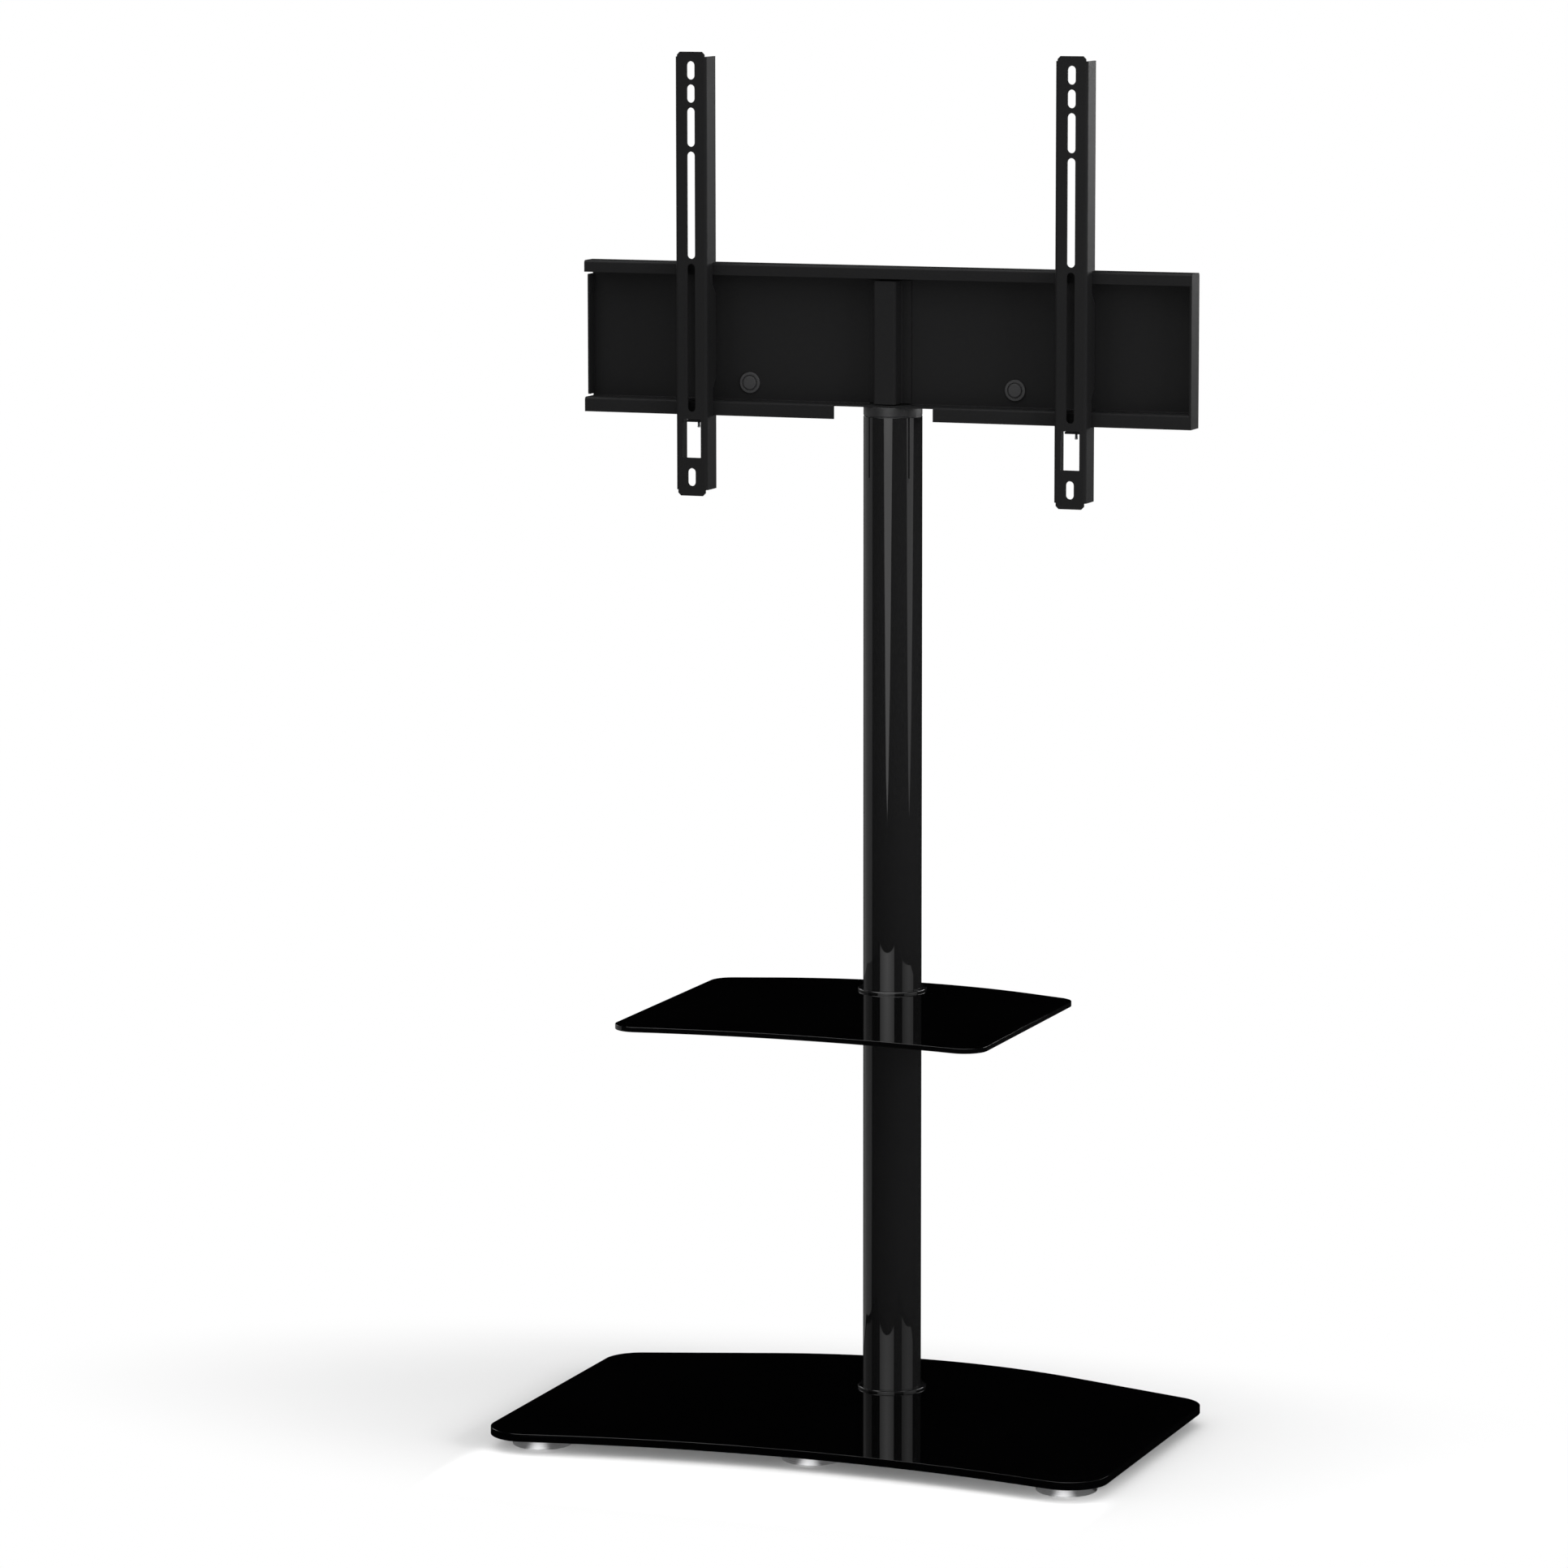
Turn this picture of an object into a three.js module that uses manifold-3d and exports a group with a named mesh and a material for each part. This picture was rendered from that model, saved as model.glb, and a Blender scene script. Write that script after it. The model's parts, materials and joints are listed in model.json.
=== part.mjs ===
// Floor stand for a flat-screen television. Two slotted rails slide along a folded steel tray, which
// swivels on a round column. The column stands on a glass base and passes through a glass shelf.
// Millimetres, +Z up, +X to the right, and the screen side faces -Y. The origin is on the floor, under
// the middle of the base's outline.
import * as THREE from "three";
import { mergeVertices } from "three/addons/utils/BufferGeometryUtils.js";
import Module from "manifold-3d";

const wasm = await Module();
wasm.setup();

// Clearances and steps shared by every piece.
const seatGap = 0.1; // between faces that rest on each other
const slipGap = 0.3; // between a piece and the bore, tube or channel round it
const overrun = 3; // how far a cutter passes the face that it opens
const columnSteps = 32; // sides of the large round pieces
const ringSteps = 20; // sides of rings, feet and plugs
const boltSteps = 12; // sides of bolts and pins
const filletSteps = 3; // straight runs in a corner or a bend
const sweepSteps = 14; // straight runs in a long curve of the glass

// Feet: a steel puck with a rubber pad let into its underside.
const footRadius = 30.2;
const footHeight = 13.2;
const footChamfer = 0.8;
const padRadius = 27;
const padThickness = 2.5;
const padStandOff = 1; // how far the pad stands below the steel

// Base: one sheet of glass, hollow-curved in front and bowed behind.
const baseWidth = 652.6;
const baseThickness = 8;
const baseBackReach = 129; // from the column's axis to the middle of the back edge
const baseFrontReach = 295; // from the column's axis to the middle of the front edge
const baseBackRadius = 514;
const baseFrontRadius = 1235;
const baseCorner = 40;
const glassChamfer = 0.8;
const wingSlope = 0.346; // fall of the straight ends of both back edges
const footInset = 47.1; // from the side of the glass to the middle of an outer foot
const frontFootReach = 272; // in front of the column's axis
const middleFootReach = 239.6;
const rearFootReach = 8; // behind the column's axis
const rearMiddleFootReach = 92;

// Shelf: a smaller sheet of the same form.
const shelfWidth = 391.4;
const shelfThickness = 5;
const shelfTop = 439.9; // height above the floor
const shelfBackReach = 49;
const shelfFrontReach = 282.2;
const shelfBackRadius = 435;
const shelfFrontRadius = 1000;
const shelfCorner = 24;

// Column: two lengths of lacquered tube, closed by turned plugs.
const columnRadius = 30;
const columnWall = 2;
const columnTop = 1031.1;
const plugHeight = 20;
const plugChamfer = 1;
const gasketThickness = 1;
const ringRadius = 35.5; // trim rings on the glass
const ringHeight = 2.4;
const ringRound = 0.9;

// Joint under the base: four bolts through a clamp plate.
const baseBore = 22; // radius of the hole in the base
const clampRadius = 45;
const clampThickness = 4;
const baseBoltCircle = 14; // radius
const baseBoltCount = 4;
const boltRadius = 4;
const boltHeadRadius = 7;
const boltHeadHeight = 4.4;
const boltReach = 12; // thread inside the plug
const socketRadius = 2.9;
const socketDepth = 2.4;

// Joint through the shelf: a hollow threaded nipple, which the cables pass.
const shelfBore = 18; // radius of the hole in the shelf
const nippleRadius = 15;
const nippleBore = 11; // radius
const nippleReach = 17; // into each plug

// Cable ports in the back of the column, each with a rubber grommet.
const portWidth = 22;
const portHeight = 46;
const lowerPortMiddle = 90; // height above the floor
const upperPortMiddle = 935;
const grommetFlange = 3;
const grommetSkin = 1.4;
const grommetRim = 2.2;

// Swivel: the head's collar turns on a flanged bush, held down by a spindle and its nut.
const collarHeight = 9.2;
const bushFlange = 0.9;
const bushWall = 2.4;
const bushFlangeInset = 0.6;
const bearingPlugHeight = 26;
const spindleRadius = 12;
const spindleReach = 44; // below the column's rim
const washerRadius = 22;
const washerThickness = 2;
const nutFlats = 36;
const nutHeight = 12;
const stopPinRadius = 2.5;
const stopPinCircle = 22; // radius
const stopPinRise = 5;
const stopPinDepth = 8;
const swivelHalfAngle = 30; // degrees each way

// Tray: one folded sheet with a lip along each edge.
const trayWidth = 650.6;
const traySheet = 2;
const trayBend = 1; // inner radius of every bend in sheet
const trayFront = 30.5; // in front of the column's axis
const trayBack = 5;
const trayHeight = 142.4; // between the outer faces of the two flanges
const topLipDrop = 12;
const bottomLipDrop = 14.9; // below the upper face of the bottom flange
const notchWidth = 106.4;
const notchSetback = 3; // how far the notch cuts into the bottom flange
const leftFlangeDepth = 16.5;
const leftFlangeTopRelief = 14.7; // below the tray's top
const leftFlangeBottomRelief = 2.2; // above the bottom flange
const traySlipHole = 4.4; // radius of a bolt's hole in sheet

// Spine: a hat section that stiffens the middle of the tray.
const spineWidth = 24.6;
const spineDepth = 20.4;
const spineFlange = 10.2;
const spineSheet = 2;
const spineHeight = 126;

// Disc-headed screws that hold the tray against the head plate. Each has a flange and a raised head.
const discLeft = -152.3; // from the middle plane
const discRight = 133.3;
const discRise = 17.6; // above the bottom flange
const discRadius = 10.8;
const discThickness = 1.8;
const discHeadRadius = 7.2;
const discHeadRise = 0.7; // above the flange of the disc
const discGroove = 0.6;
const discGrooveDepth = 0.7;
const discEdge = 0.5; // chamfer

// Head bracket behind the tray: a T-shaped plate and a square post, bolted through the spine.
const plateThickness = 4;
const plateWidth = 340;
const plateArm = 46;
const plateStem = 56;
const plateHeight = 134;
const plateCorner = 6;
const plateInnerCorner = 10;
const postWidth = 40;
const postDepth = 21;
const postWall = 2.5;
const postCorner = 4;
const postHeight = 136;
const capLip = 2.5;
const capPlug = 12;
const barWidth = 16;
const barDepth = 6;
const barHeight = 92;
const barRise = 26; // above the bottom flange
const headBoltPitch = 60;
const headBoltHeadFlats = 13;
const headBoltHeadHeight = 5.3;
const headBoltTip = 2; // beyond the backing bar

// Rails: channels with slots for the screen's screws and a window for the lock.
const railLeft = -201; // from the middle plane
const railRight = 204.4;
const railWidth = 34;
const railDepth = 26;
const railSheet = 2;
const railBend = 1;
const railBodyHeight = 440;
const railBodyBottom = 953.2; // height above the floor
const railTopTab = 5;
const railBottomTab = 6.2;
const railTabWidth = 29.6;
const railTabChamfer = 3;
const railLipGap = 0.4; // between the recess and the lips
const railReach = 16.7; // from the rail's front to the bottom of the recess
const railHangGap = 0.5; // between the steps and the tray's edges
const bulgeBottom = 12.5; // from the bottom flange's upper face to the foot of the lower slope
const bulgeTop = 20.9; // from the top flange's upper face down to the head of the upper slope
const bulgeSlope = 11;
const slotWidth = 8.4;
const slotGap = 4.9;
const bottomSlotRise = 10; // from the foot of the tab to the lowest slot
const bottomSlotLength = 18.3;
const windowRise = 39; // from the foot of the tab to the window
const windowWidth = 19.8;
const windowHeight = 39.1;
const windowCorner = 0.8;
const slotsRise = 86; // from the foot of the tab to the slots above the window
const slotLengths = [150.8, 108.7, 39.6, 18.4, 18.6]; // from the bottom up

// Hook plate and lock inside each rail.
const hookSheet = 2;
const hookLipGap = 0.6;
const hookHeight = 7.6;
const hookTopGap = 2; // below the top flange
const lockTabRise = 75.4; // from the foot of the rail's tab to the lock tab's underside
const lockTabSheet = 2;
const lockTabReach = 21.6; // from the right wall across the channel
const lockTabDepth = 22.8;
const lockTabCorner = 2;
const lockScrewRadius = 1.5;
const lockScrewDrop = 6.9; // below the lock tab
const lockScrewSocket = 0.8;
const lockScrewSocketDepth = 1.6;

// Finishes.
const finishes = {
  glass: { color: 0x060607, roughness: 0.04, metalness: 0 },
  lacquer: { color: 0x141416, roughness: 0.12, metalness: 0 },
  powderCoat: { color: 0x1c1c1e, roughness: 0.55, metalness: 0 },
  brushedSteel: { color: 0xb4b4b8, roughness: 0.32, metalness: 1 },
  zincSteel: { color: 0x8f9196, roughness: 0.4, metalness: 1 },
  rubber: { color: 0x0d0d0d, roughness: 0.85, metalness: 0 },
  nylon: { color: 0x17171a, roughness: 0.5, metalness: 0 },
};

// Heights and depths that several pieces share.
const footTop = padStandOff + footHeight;
const baseUnderside = footTop + seatGap;
const baseTop = baseUnderside + baseThickness;
const shelfUnderside = shelfTop - shelfThickness;
const lowerColumnBottom = baseTop + gasketThickness + 2 * seatGap;
const lowerColumnTop = shelfUnderside - gasketThickness - 2 * seatGap;
const upperColumnBottom = shelfTop + gasketThickness + 2 * seatGap;
const tubeBore = columnRadius - columnWall;
const plugRadius = tubeBore - slipGap;
const collarBottom = columnTop + bushFlange + 2 * seatGap;
const collarTop = collarBottom + collarHeight;
const flangeUnderside = collarTop + seatGap;
const flangeTop = flangeUnderside + traySheet;
const trayTop = flangeUnderside + trayHeight;
const lipInner = -trayFront + traySheet;
const panelFront = -trayBack - traySheet;
const plateFront = -trayBack + seatGap;
const postFront = plateFront + plateThickness + seatGap;
const railRecess = -trayFront - railLipGap;
const railFront = railRecess - railReach;
const railRear = railFront + railDepth;
const railFoot = railBodyBottom - railBottomTab;

// Turns a geometry into a solid that can be cut and joined.
function solidOf(geometry) {
  const bare = geometry.index ? geometry.toNonIndexed() : geometry.clone();
  for (const name of Object.keys(bare.attributes)) {
    if (name !== "position") bare.deleteAttribute(name);
  }
  const merged = mergeVertices(bare);
  const mesh = new wasm.Mesh({
    numProp: 3,
    vertProperties: merged.attributes.position.array,
    triVerts: new Uint32Array(merged.index.array),
  });
  return new wasm.Manifold(mesh);
}

// Turns a solid back into a geometry with flat faces.
function geometryOf(solid) {
  const mesh = solid.getMesh();
  const geometry = new THREE.BufferGeometry();
  geometry.setAttribute("position", new THREE.BufferAttribute(mesh.vertProperties, 3));
  geometry.setIndex(new THREE.BufferAttribute(mesh.triVerts, 1));
  const flat = geometry.toNonIndexed();
  flat.computeVertexNormals();
  return flat;
}

function cut(geometry, ...tools) {
  return geometryOf(tools.reduce((solid, tool) => solid.subtract(solidOf(tool)), solidOf(geometry)));
}

function join(geometry, ...others) {
  return geometryOf(others.reduce((solid, other) => solid.add(solidOf(other)), solidOf(geometry)));
}

function common(geometry, other) {
  return geometryOf(solidOf(geometry).intersect(solidOf(other)));
}

// Points along an arc, its two ends included. Angles are in radians.
function arc(x, y, radius, from, to, steps) {
  return Array.from({ length: steps + 1 }, (_, i) => {
    const angle = from + ((to - from) * i) / steps;
    return new THREE.Vector2(x + radius * Math.cos(angle), y + radius * Math.sin(angle));
  });
}

// Rounds the corners of a path. Each corner has its own radius, and an open path keeps its two ends.
function roundedPath(corners, radii, closed) {
  const count = corners.length;
  const path = [];
  corners.forEach((corner, i) => {
    const isEnd = !closed && (i === 0 || i === count - 1);
    if (isEnd || radii[i] === 0) {
      path.push(corner.clone());
      return;
    }
    const toLast = corners[(i + count - 1) % count].clone().sub(corner).normalize();
    const toNext = corners[(i + 1) % count].clone().sub(corner).normalize();
    const half = Math.acos(THREE.MathUtils.clamp(toLast.dot(toNext), -1, 1)) / 2;
    const inward = toLast.clone().add(toNext).normalize();
    const centre = corner.clone().addScaledVector(inward, radii[i] / Math.sin(half));
    const start = toLast.clone().multiplyScalar(radii[i] / Math.tan(half)).add(corner).sub(centre);
    const end = toNext.clone().multiplyScalar(radii[i] / Math.tan(half)).add(corner).sub(centre);
    const turn = Math.atan2(start.cross(end), start.dot(end));
    path.push(...arc(centre.x, centre.y, radii[i], start.angle(), start.angle() + turn, filletSteps));
  });
  return path.filter((point, i) => i === 0 || point.distanceTo(path[i - 1]) > seatGap / 10);
}

// The section of a bent sheet. The path runs along one face, and the sheet lies on its left or, with a
// side of -1, on its right.
function bentSheet(corners, thickness, bend, side) {
  const directions = corners.slice(1).map((corner, i) => corner.clone().sub(corners[i]).normalize());
  const across = directions.map((d) => new THREE.Vector2(-d.y, d.x).multiplyScalar(side * thickness));
  const opposite = corners.map((corner, i) => {
    if (i === 0) return corner.clone().add(across[0]);
    if (i === corners.length - 1) return corner.clone().add(across[i - 1]);
    return corner.clone().add(across[i - 1]).add(across[i]);
  });
  const nearRadii = corners.map((corner, i) => {
    if (i === 0 || i === corners.length - 1) return 0;
    const turnsToSheet = directions[i - 1].cross(directions[i]) * side > 0;
    return turnsToSheet ? bend + thickness : bend;
  });
  const farRadii = nearRadii.map((radius) => (radius === 0 ? 0 : 2 * bend + thickness - radius));
  const near = roundedPath(corners, nearRadii, false);
  const far = roundedPath(opposite, farRadii, false);
  return new THREE.Shape([...near, ...far.reverse()]);
}

function points(pairs) {
  return pairs.map(([x, y]) => new THREE.Vector2(x, y));
}

function rectangle(x0, y0, x1, y1, radius) {
  const corners = points([[x0, y0], [x1, y0], [x1, y1], [x0, y1]]);
  return roundedPath(corners, corners.map(() => radius), true);
}

// A slot with round ends, which stands upright.
function slot(x, y, width, length) {
  const rise = (length - width) / 2;
  const upper = arc(x, y + rise, width / 2, 0, Math.PI, 2 * filletSteps);
  const lower = arc(x, y - rise, width / 2, Math.PI, 2 * Math.PI, 2 * filletSteps);
  return [...upper, ...lower];
}

function circle(x, y, radius, steps) {
  return arc(x, y, radius, 0, 2 * Math.PI, steps).slice(0, -1);
}

function outline(edge, ...holes) {
  const shape = edge.isShape ? edge : new THREE.Shape(edge);
  shape.holes.push(...holes.map((hole) => new THREE.Path(hole)));
  return shape;
}

const axisX = new THREE.Vector3(1, 0, 0);
const axisY = new THREE.Vector3(0, 1, 0);
const axisZ = new THREE.Vector3(0, 0, 1);

function extrude(shape, depth) {
  return new THREE.ExtrudeGeometry(shape, { depth, bevelEnabled: false });
}

// A plan outline raised from one height to another.
function upright(shape, bottom, top) {
  return extrude(shape, top - bottom).translate(0, 0, bottom);
}

// An outline drawn in X and Z, as seen from the front, between two depths.
function facing(shape, front, back) {
  const toWorld = new THREE.Matrix4().makeBasis(axisX, axisZ, axisY.clone().negate());
  return extrude(shape, back - front).applyMatrix4(toWorld).translate(0, back, 0);
}

// A section drawn in Y and Z, run along X between two places.
function along(shape, left, right) {
  const toWorld = new THREE.Matrix4().makeBasis(axisY, axisZ, axisX);
  return extrude(shape, right - left).applyMatrix4(toWorld).translate(left, 0, 0);
}

// A section of radius and height, turned about the Z axis. It runs anticlockwise and closes on itself,
// or starts and ends on the axis.
function turned(section, steps) {
  const profile = section.map(([radius, height]) => new THREE.Vector2(radius, height));
  if (section[0][0] !== 0) profile.push(profile[0].clone());
  return new THREE.LatheGeometry(profile, steps).rotateX(Math.PI / 2);
}

function tube(outer, inner, bottom, top, steps) {
  return turned([[outer, bottom], [outer, top], [inner, top], [inner, bottom]], steps);
}

function disc(radius, bottom, top, steps) {
  return turned([[0, bottom], [radius, bottom], [radius, top], [0, top]], steps);
}

function rod(radius, bottom, top, chamfer, steps) {
  const section = [[0, bottom], [radius - chamfer, bottom], [radius, bottom + chamfer]];
  section.push([radius, top - chamfer], [radius - chamfer, top], [0, top]);
  return turned(section, steps);
}

// A round rod that lies along Y between two depths.
function crossRod(x, z, radius, front, back, steps) {
  return facing(outline(circle(x, z, radius, steps)), front, back);
}

function hexagon(flats) {
  return circle(0, 0, flats / Math.sqrt(3), 6);
}

const assembly = new THREE.Group();
assembly.name = "tv_stand";

function place(group, name, geometry, finish) {
  const mesh = new THREE.Mesh(geometry, new THREE.MeshStandardMaterial(finishes[finish]));
  mesh.name = name;
  group.add(mesh);
  return mesh;
}

// The plan of a sheet of glass about the column's axis: a hollow curve in front, and behind a bow that
// runs out into two straight wings. Every corner has the same radius.
function glassPlan(width, backReach, backRadius, frontReach, frontRadius, corner) {
  const cornerX = width / 2 - corner;
  const frontCentre = -frontReach - frontRadius;
  const frontCornerY = frontCentre + Math.sqrt((frontRadius + corner) ** 2 - cornerX ** 2);
  const frontAngle = Math.atan2(frontCornerY - frontCentre, cornerX);
  const wingAngle = Math.atan(wingSlope);
  const bowCentre = backReach - backRadius;
  const bowEndX = backRadius * Math.sin(wingAngle);
  const bowEndY = bowCentre + backRadius * Math.cos(wingAngle);
  const backCornerY = bowEndY - wingSlope * (cornerX - bowEndX) - corner / Math.cos(wingAngle);
  const quarter = Math.PI / 2;
  const edge = [
    ...arc(0, frontCentre, frontRadius, Math.PI - frontAngle, frontAngle, sweepSteps),
    ...arc(cornerX, frontCornerY, corner, frontAngle - Math.PI, 0, filletSteps * 2).slice(1),
    ...arc(cornerX, backCornerY, corner, 0, quarter - wingAngle, filletSteps * 2),
    ...arc(0, bowCentre, backRadius, quarter - wingAngle, quarter + wingAngle, sweepSteps),
    ...arc(-cornerX, backCornerY, corner, quarter + wingAngle, Math.PI, filletSteps * 2),
    ...arc(-cornerX, frontCornerY, corner, Math.PI, 2 * Math.PI - frontAngle, filletSteps * 2).slice(0, -1),
  ];
  return { edge, foremost: frontCornerY - corner };
}

function glassSheet(plan, bore, bottom, thickness) {
  const shape = outline(plan.edge, circle(0, 0, bore, ringSteps).reverse());
  const geometry = new THREE.ExtrudeGeometry(shape, {
    depth: thickness - 2 * glassChamfer,
    bevelThickness: glassChamfer,
    bevelSize: glassChamfer,
    bevelOffset: -glassChamfer,
    bevelSegments: 1,
  });
  return geometry.translate(0, 0, bottom + glassChamfer);
}

const basePlan = glassPlan(
  baseWidth, baseBackReach, baseBackRadius, baseFrontReach, baseFrontRadius, baseCorner,
);
const shelfPlan = glassPlan(
  shelfWidth, shelfBackReach, shelfBackRadius, shelfFrontReach, shelfFrontRadius, shelfCorner,
);

// Feet. Three stand along the front edge and three along the back.
function footSection() {
  const recess = padThickness - padStandOff;
  return [
    [0, recess],
    [padRadius + slipGap, recess],
    [padRadius + slipGap, 0],
    [footRadius - footChamfer, 0],
    [footRadius, footChamfer],
    [footRadius, footHeight - footChamfer],
    [footRadius - footChamfer, footHeight],
    [0, footHeight],
  ];
}

const footSpread = baseWidth / 2 - footInset;
const footPlaces = {
  front_left: [-footSpread, -frontFootReach],
  front_middle: [0, -middleFootReach],
  front_right: [footSpread, -frontFootReach],
  rear_left: [-footSpread, rearFootReach],
  rear_middle: [0, rearMiddleFootReach],
  rear_right: [footSpread, rearFootReach],
};

for (const [corner, [x, y]] of Object.entries(footPlaces)) {
  const foot = new THREE.Group();
  foot.position.set(x, y, 0);
  const puck = place(foot, "foot_" + corner, turned(footSection(), ringSteps), "brushedSteel");
  puck.position.z = padStandOff;
  place(foot, "foot_pad_" + corner, disc(padRadius, 0, padThickness - seatGap, ringSteps), "rubber");
  assembly.add(foot);
}

// Base glass and the joint that clamps the column to it.
place(assembly, "base_glass", glassSheet(basePlan, baseBore, baseUnderside, baseThickness), "glass");

// A trim ring that hides the joint between the column and the glass. Its free edge is rounded.
function trimRing(glassFace, direction) {
  const inner = columnRadius + slipGap;
  const crown = arc(ringRadius - ringRound, ringHeight - ringRound, ringRound, 0, Math.PI / 2, filletSteps);
  const section = [[inner, 0], [ringRadius, 0], ...crown.map((p) => [p.x, p.y]), [inner, ringHeight]];
  const ring = turned(section, columnSteps);
  if (direction < 0) ring.rotateX(Math.PI);
  return ring.translate(0, 0, glassFace + direction * seatGap);
}

function gasket(outer, inner, bottom) {
  return tube(outer, inner, bottom, bottom + gasketThickness, ringSteps);
}

place(assembly, "base_ring", trimRing(baseTop, 1), "lacquer");
place(assembly, "base_gasket", gasket(columnRadius, baseBore, baseTop + seatGap), "rubber");

const clampGasketBottom = baseUnderside - seatGap - gasketThickness;
const clampBottom = clampGasketBottom - seatGap - clampThickness;
place(assembly, "clamp_gasket", gasket(clampRadius, baseBore, clampGasketBottom), "rubber");

function boltCircle(radius, count, place) {
  return Array.from({ length: count }, (_, i) => {
    const angle = ((i + 1 / 2) / count) * 2 * Math.PI;
    return place(radius * Math.cos(angle), radius * Math.sin(angle), i);
  });
}

const clampHoles = boltCircle(baseBoltCircle, baseBoltCount, (x, y) =>
  circle(x, y, boltRadius + slipGap, boltSteps).reverse(),
);
const clampShape = outline(circle(0, 0, clampRadius, ringSteps), ...clampHoles);
place(assembly, "clamp_plate", upright(clampShape, clampBottom, clampBottom + clampThickness), "zincSteel");

// The foot plug fills the tube's end, and its spigot centres it in the hole of the glass.
function footPlug() {
  const spigot = baseBore - slipGap;
  const spigotBottom = baseUnderside + seatGap;
  const top = lowerColumnBottom + plugHeight;
  const body = turned(
    [
      [0, spigotBottom],
      [spigot, spigotBottom],
      [spigot, lowerColumnBottom],
      [plugRadius, lowerColumnBottom],
      [plugRadius, top - plugChamfer],
      [plugRadius - plugChamfer, top],
      [0, top],
    ],
    ringSteps,
  );
  const threads = boltCircle(baseBoltCircle, baseBoltCount, (x, y) => {
    const hole = outline(circle(x, y, boltRadius + slipGap, boltSteps));
    return upright(hole, spigotBottom - overrun, lowerColumnBottom + boltReach + slipGap);
  });
  return cut(body, ...threads);
}

place(assembly, "base_plug", footPlug(), "zincSteel");

// A socket-headed bolt that stands on its head, with the thread upwards.
function clampBolt() {
  const length = lowerColumnBottom + boltReach - (clampBottom - seatGap);
  const edge = boltHeadHeight / 4;
  const body = turned(
    [
      [0, -boltHeadHeight],
      [boltHeadRadius - edge, -boltHeadHeight],
      [boltHeadRadius, edge - boltHeadHeight],
      [boltHeadRadius, 0],
      [boltRadius, 0],
      [boltRadius, length - edge],
      [boltRadius - edge, length],
      [0, length],
    ],
    boltSteps,
  );
  const socket = outline(circle(0, 0, socketRadius, 6));
  return cut(body, upright(socket, -boltHeadHeight - overrun, socketDepth - boltHeadHeight));
}

boltCircle(baseBoltCircle, baseBoltCount, (x, y, i) => {
  const bolt = place(assembly, "clamp_bolt_" + (i + 1), clampBolt(), "zincSteel");
  bolt.position.set(x, y, clampBottom - seatGap);
});

// Column tubes, each with a port in its back wall.
function columnTube(bottom, top, portMiddle) {
  const wall = tube(columnRadius, tubeBore, bottom, top, columnSteps);
  return cut(wall, facing(outline(slot(0, portMiddle, portWidth, portHeight)), 0, columnRadius + overrun));
}

// A moulded grommet that follows the tube's curve: a neck in the port, and a flange on each side of
// the wall.
function grommet(portMiddle) {
  const opening = slot(0, portMiddle, portWidth - 2 * grommetRim, portHeight - 2 * grommetRim);
  const neckEdge = slot(0, portMiddle, portWidth - 2 * slipGap, portHeight - 2 * slipGap);
  const flangeEdge = slot(0, portMiddle, portWidth + 2 * grommetFlange, portHeight + 2 * grommetFlange);
  const frame = (edge) => facing(outline(edge, opening.slice().reverse()), 0, columnRadius + overrun);
  const bottom = portMiddle - portHeight;
  const top = portMiddle + portHeight;
  const skin = (inner, outer) => tube(outer, inner, bottom, top, columnSteps);
  const outerFace = columnRadius + slipGap;
  const innerFace = tubeBore - slipGap;
  const outerFlange = common(frame(flangeEdge), skin(outerFace, outerFace + grommetSkin));
  const innerFlange = common(frame(flangeEdge), skin(innerFace - grommetSkin, innerFace));
  const neck = common(frame(neckEdge), skin(innerFace - grommetSkin / 2, outerFace + grommetSkin / 2));
  return join(neck, outerFlange, innerFlange);
}

place(assembly, "lower_column", columnTube(lowerColumnBottom, lowerColumnTop, lowerPortMiddle), "lacquer");
place(assembly, "lower_grommet", grommet(lowerPortMiddle), "rubber");
place(assembly, "upper_column", columnTube(upperColumnBottom, columnTop, upperPortMiddle), "lacquer");
place(assembly, "upper_grommet", grommet(upperPortMiddle), "rubber");

// Shelf glass and the joint that holds it between the two tubes.
const shelfPlugBore = nippleRadius + slipGap;
const borePlug = (bottom, height) => tube(plugRadius, shelfPlugBore, bottom, bottom + height, ringSteps);

place(assembly, "lower_top_plug", borePlug(lowerColumnTop - plugHeight, plugHeight), "zincSteel");
place(assembly, "shelf_lower_ring", trimRing(shelfUnderside, -1), "lacquer");
place(assembly, "shelf_lower_gasket", gasket(columnRadius, shelfBore, lowerColumnTop + seatGap), "rubber");
place(assembly, "shelf_glass", glassSheet(shelfPlan, shelfBore, shelfUnderside, shelfThickness), "glass");
place(assembly, "shelf_upper_gasket", gasket(columnRadius, shelfBore, shelfTop + seatGap), "rubber");
place(assembly, "shelf_ring", trimRing(shelfTop, 1), "lacquer");
place(assembly, "upper_bottom_plug", borePlug(upperColumnBottom, plugHeight), "zincSteel");

const nippleBottom = lowerColumnTop - nippleReach;
const nippleTop = upperColumnBottom + nippleReach;
place(assembly, "column_nipple", tube(nippleRadius, nippleBore, nippleBottom, nippleTop, ringSteps), "zincSteel");

// Swivel bearing in the column's top.
const bushRadius = spindleRadius + slipGap + bushWall;
const bearingBore = bushRadius + slipGap;
const bearingBottom = columnTop - bearingPlugHeight;

function upPinHole(bottom, top) {
  return upright(outline(circle(0, stopPinCircle, stopPinRadius + slipGap, boltSteps)), bottom, top);
}

function bearingPlug() {
  const body = tube(plugRadius, bearingBore, bearingBottom, columnTop, ringSteps);
  return cut(body, upPinHole(columnTop - stopPinDepth - slipGap, columnTop + overrun));
}

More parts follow.
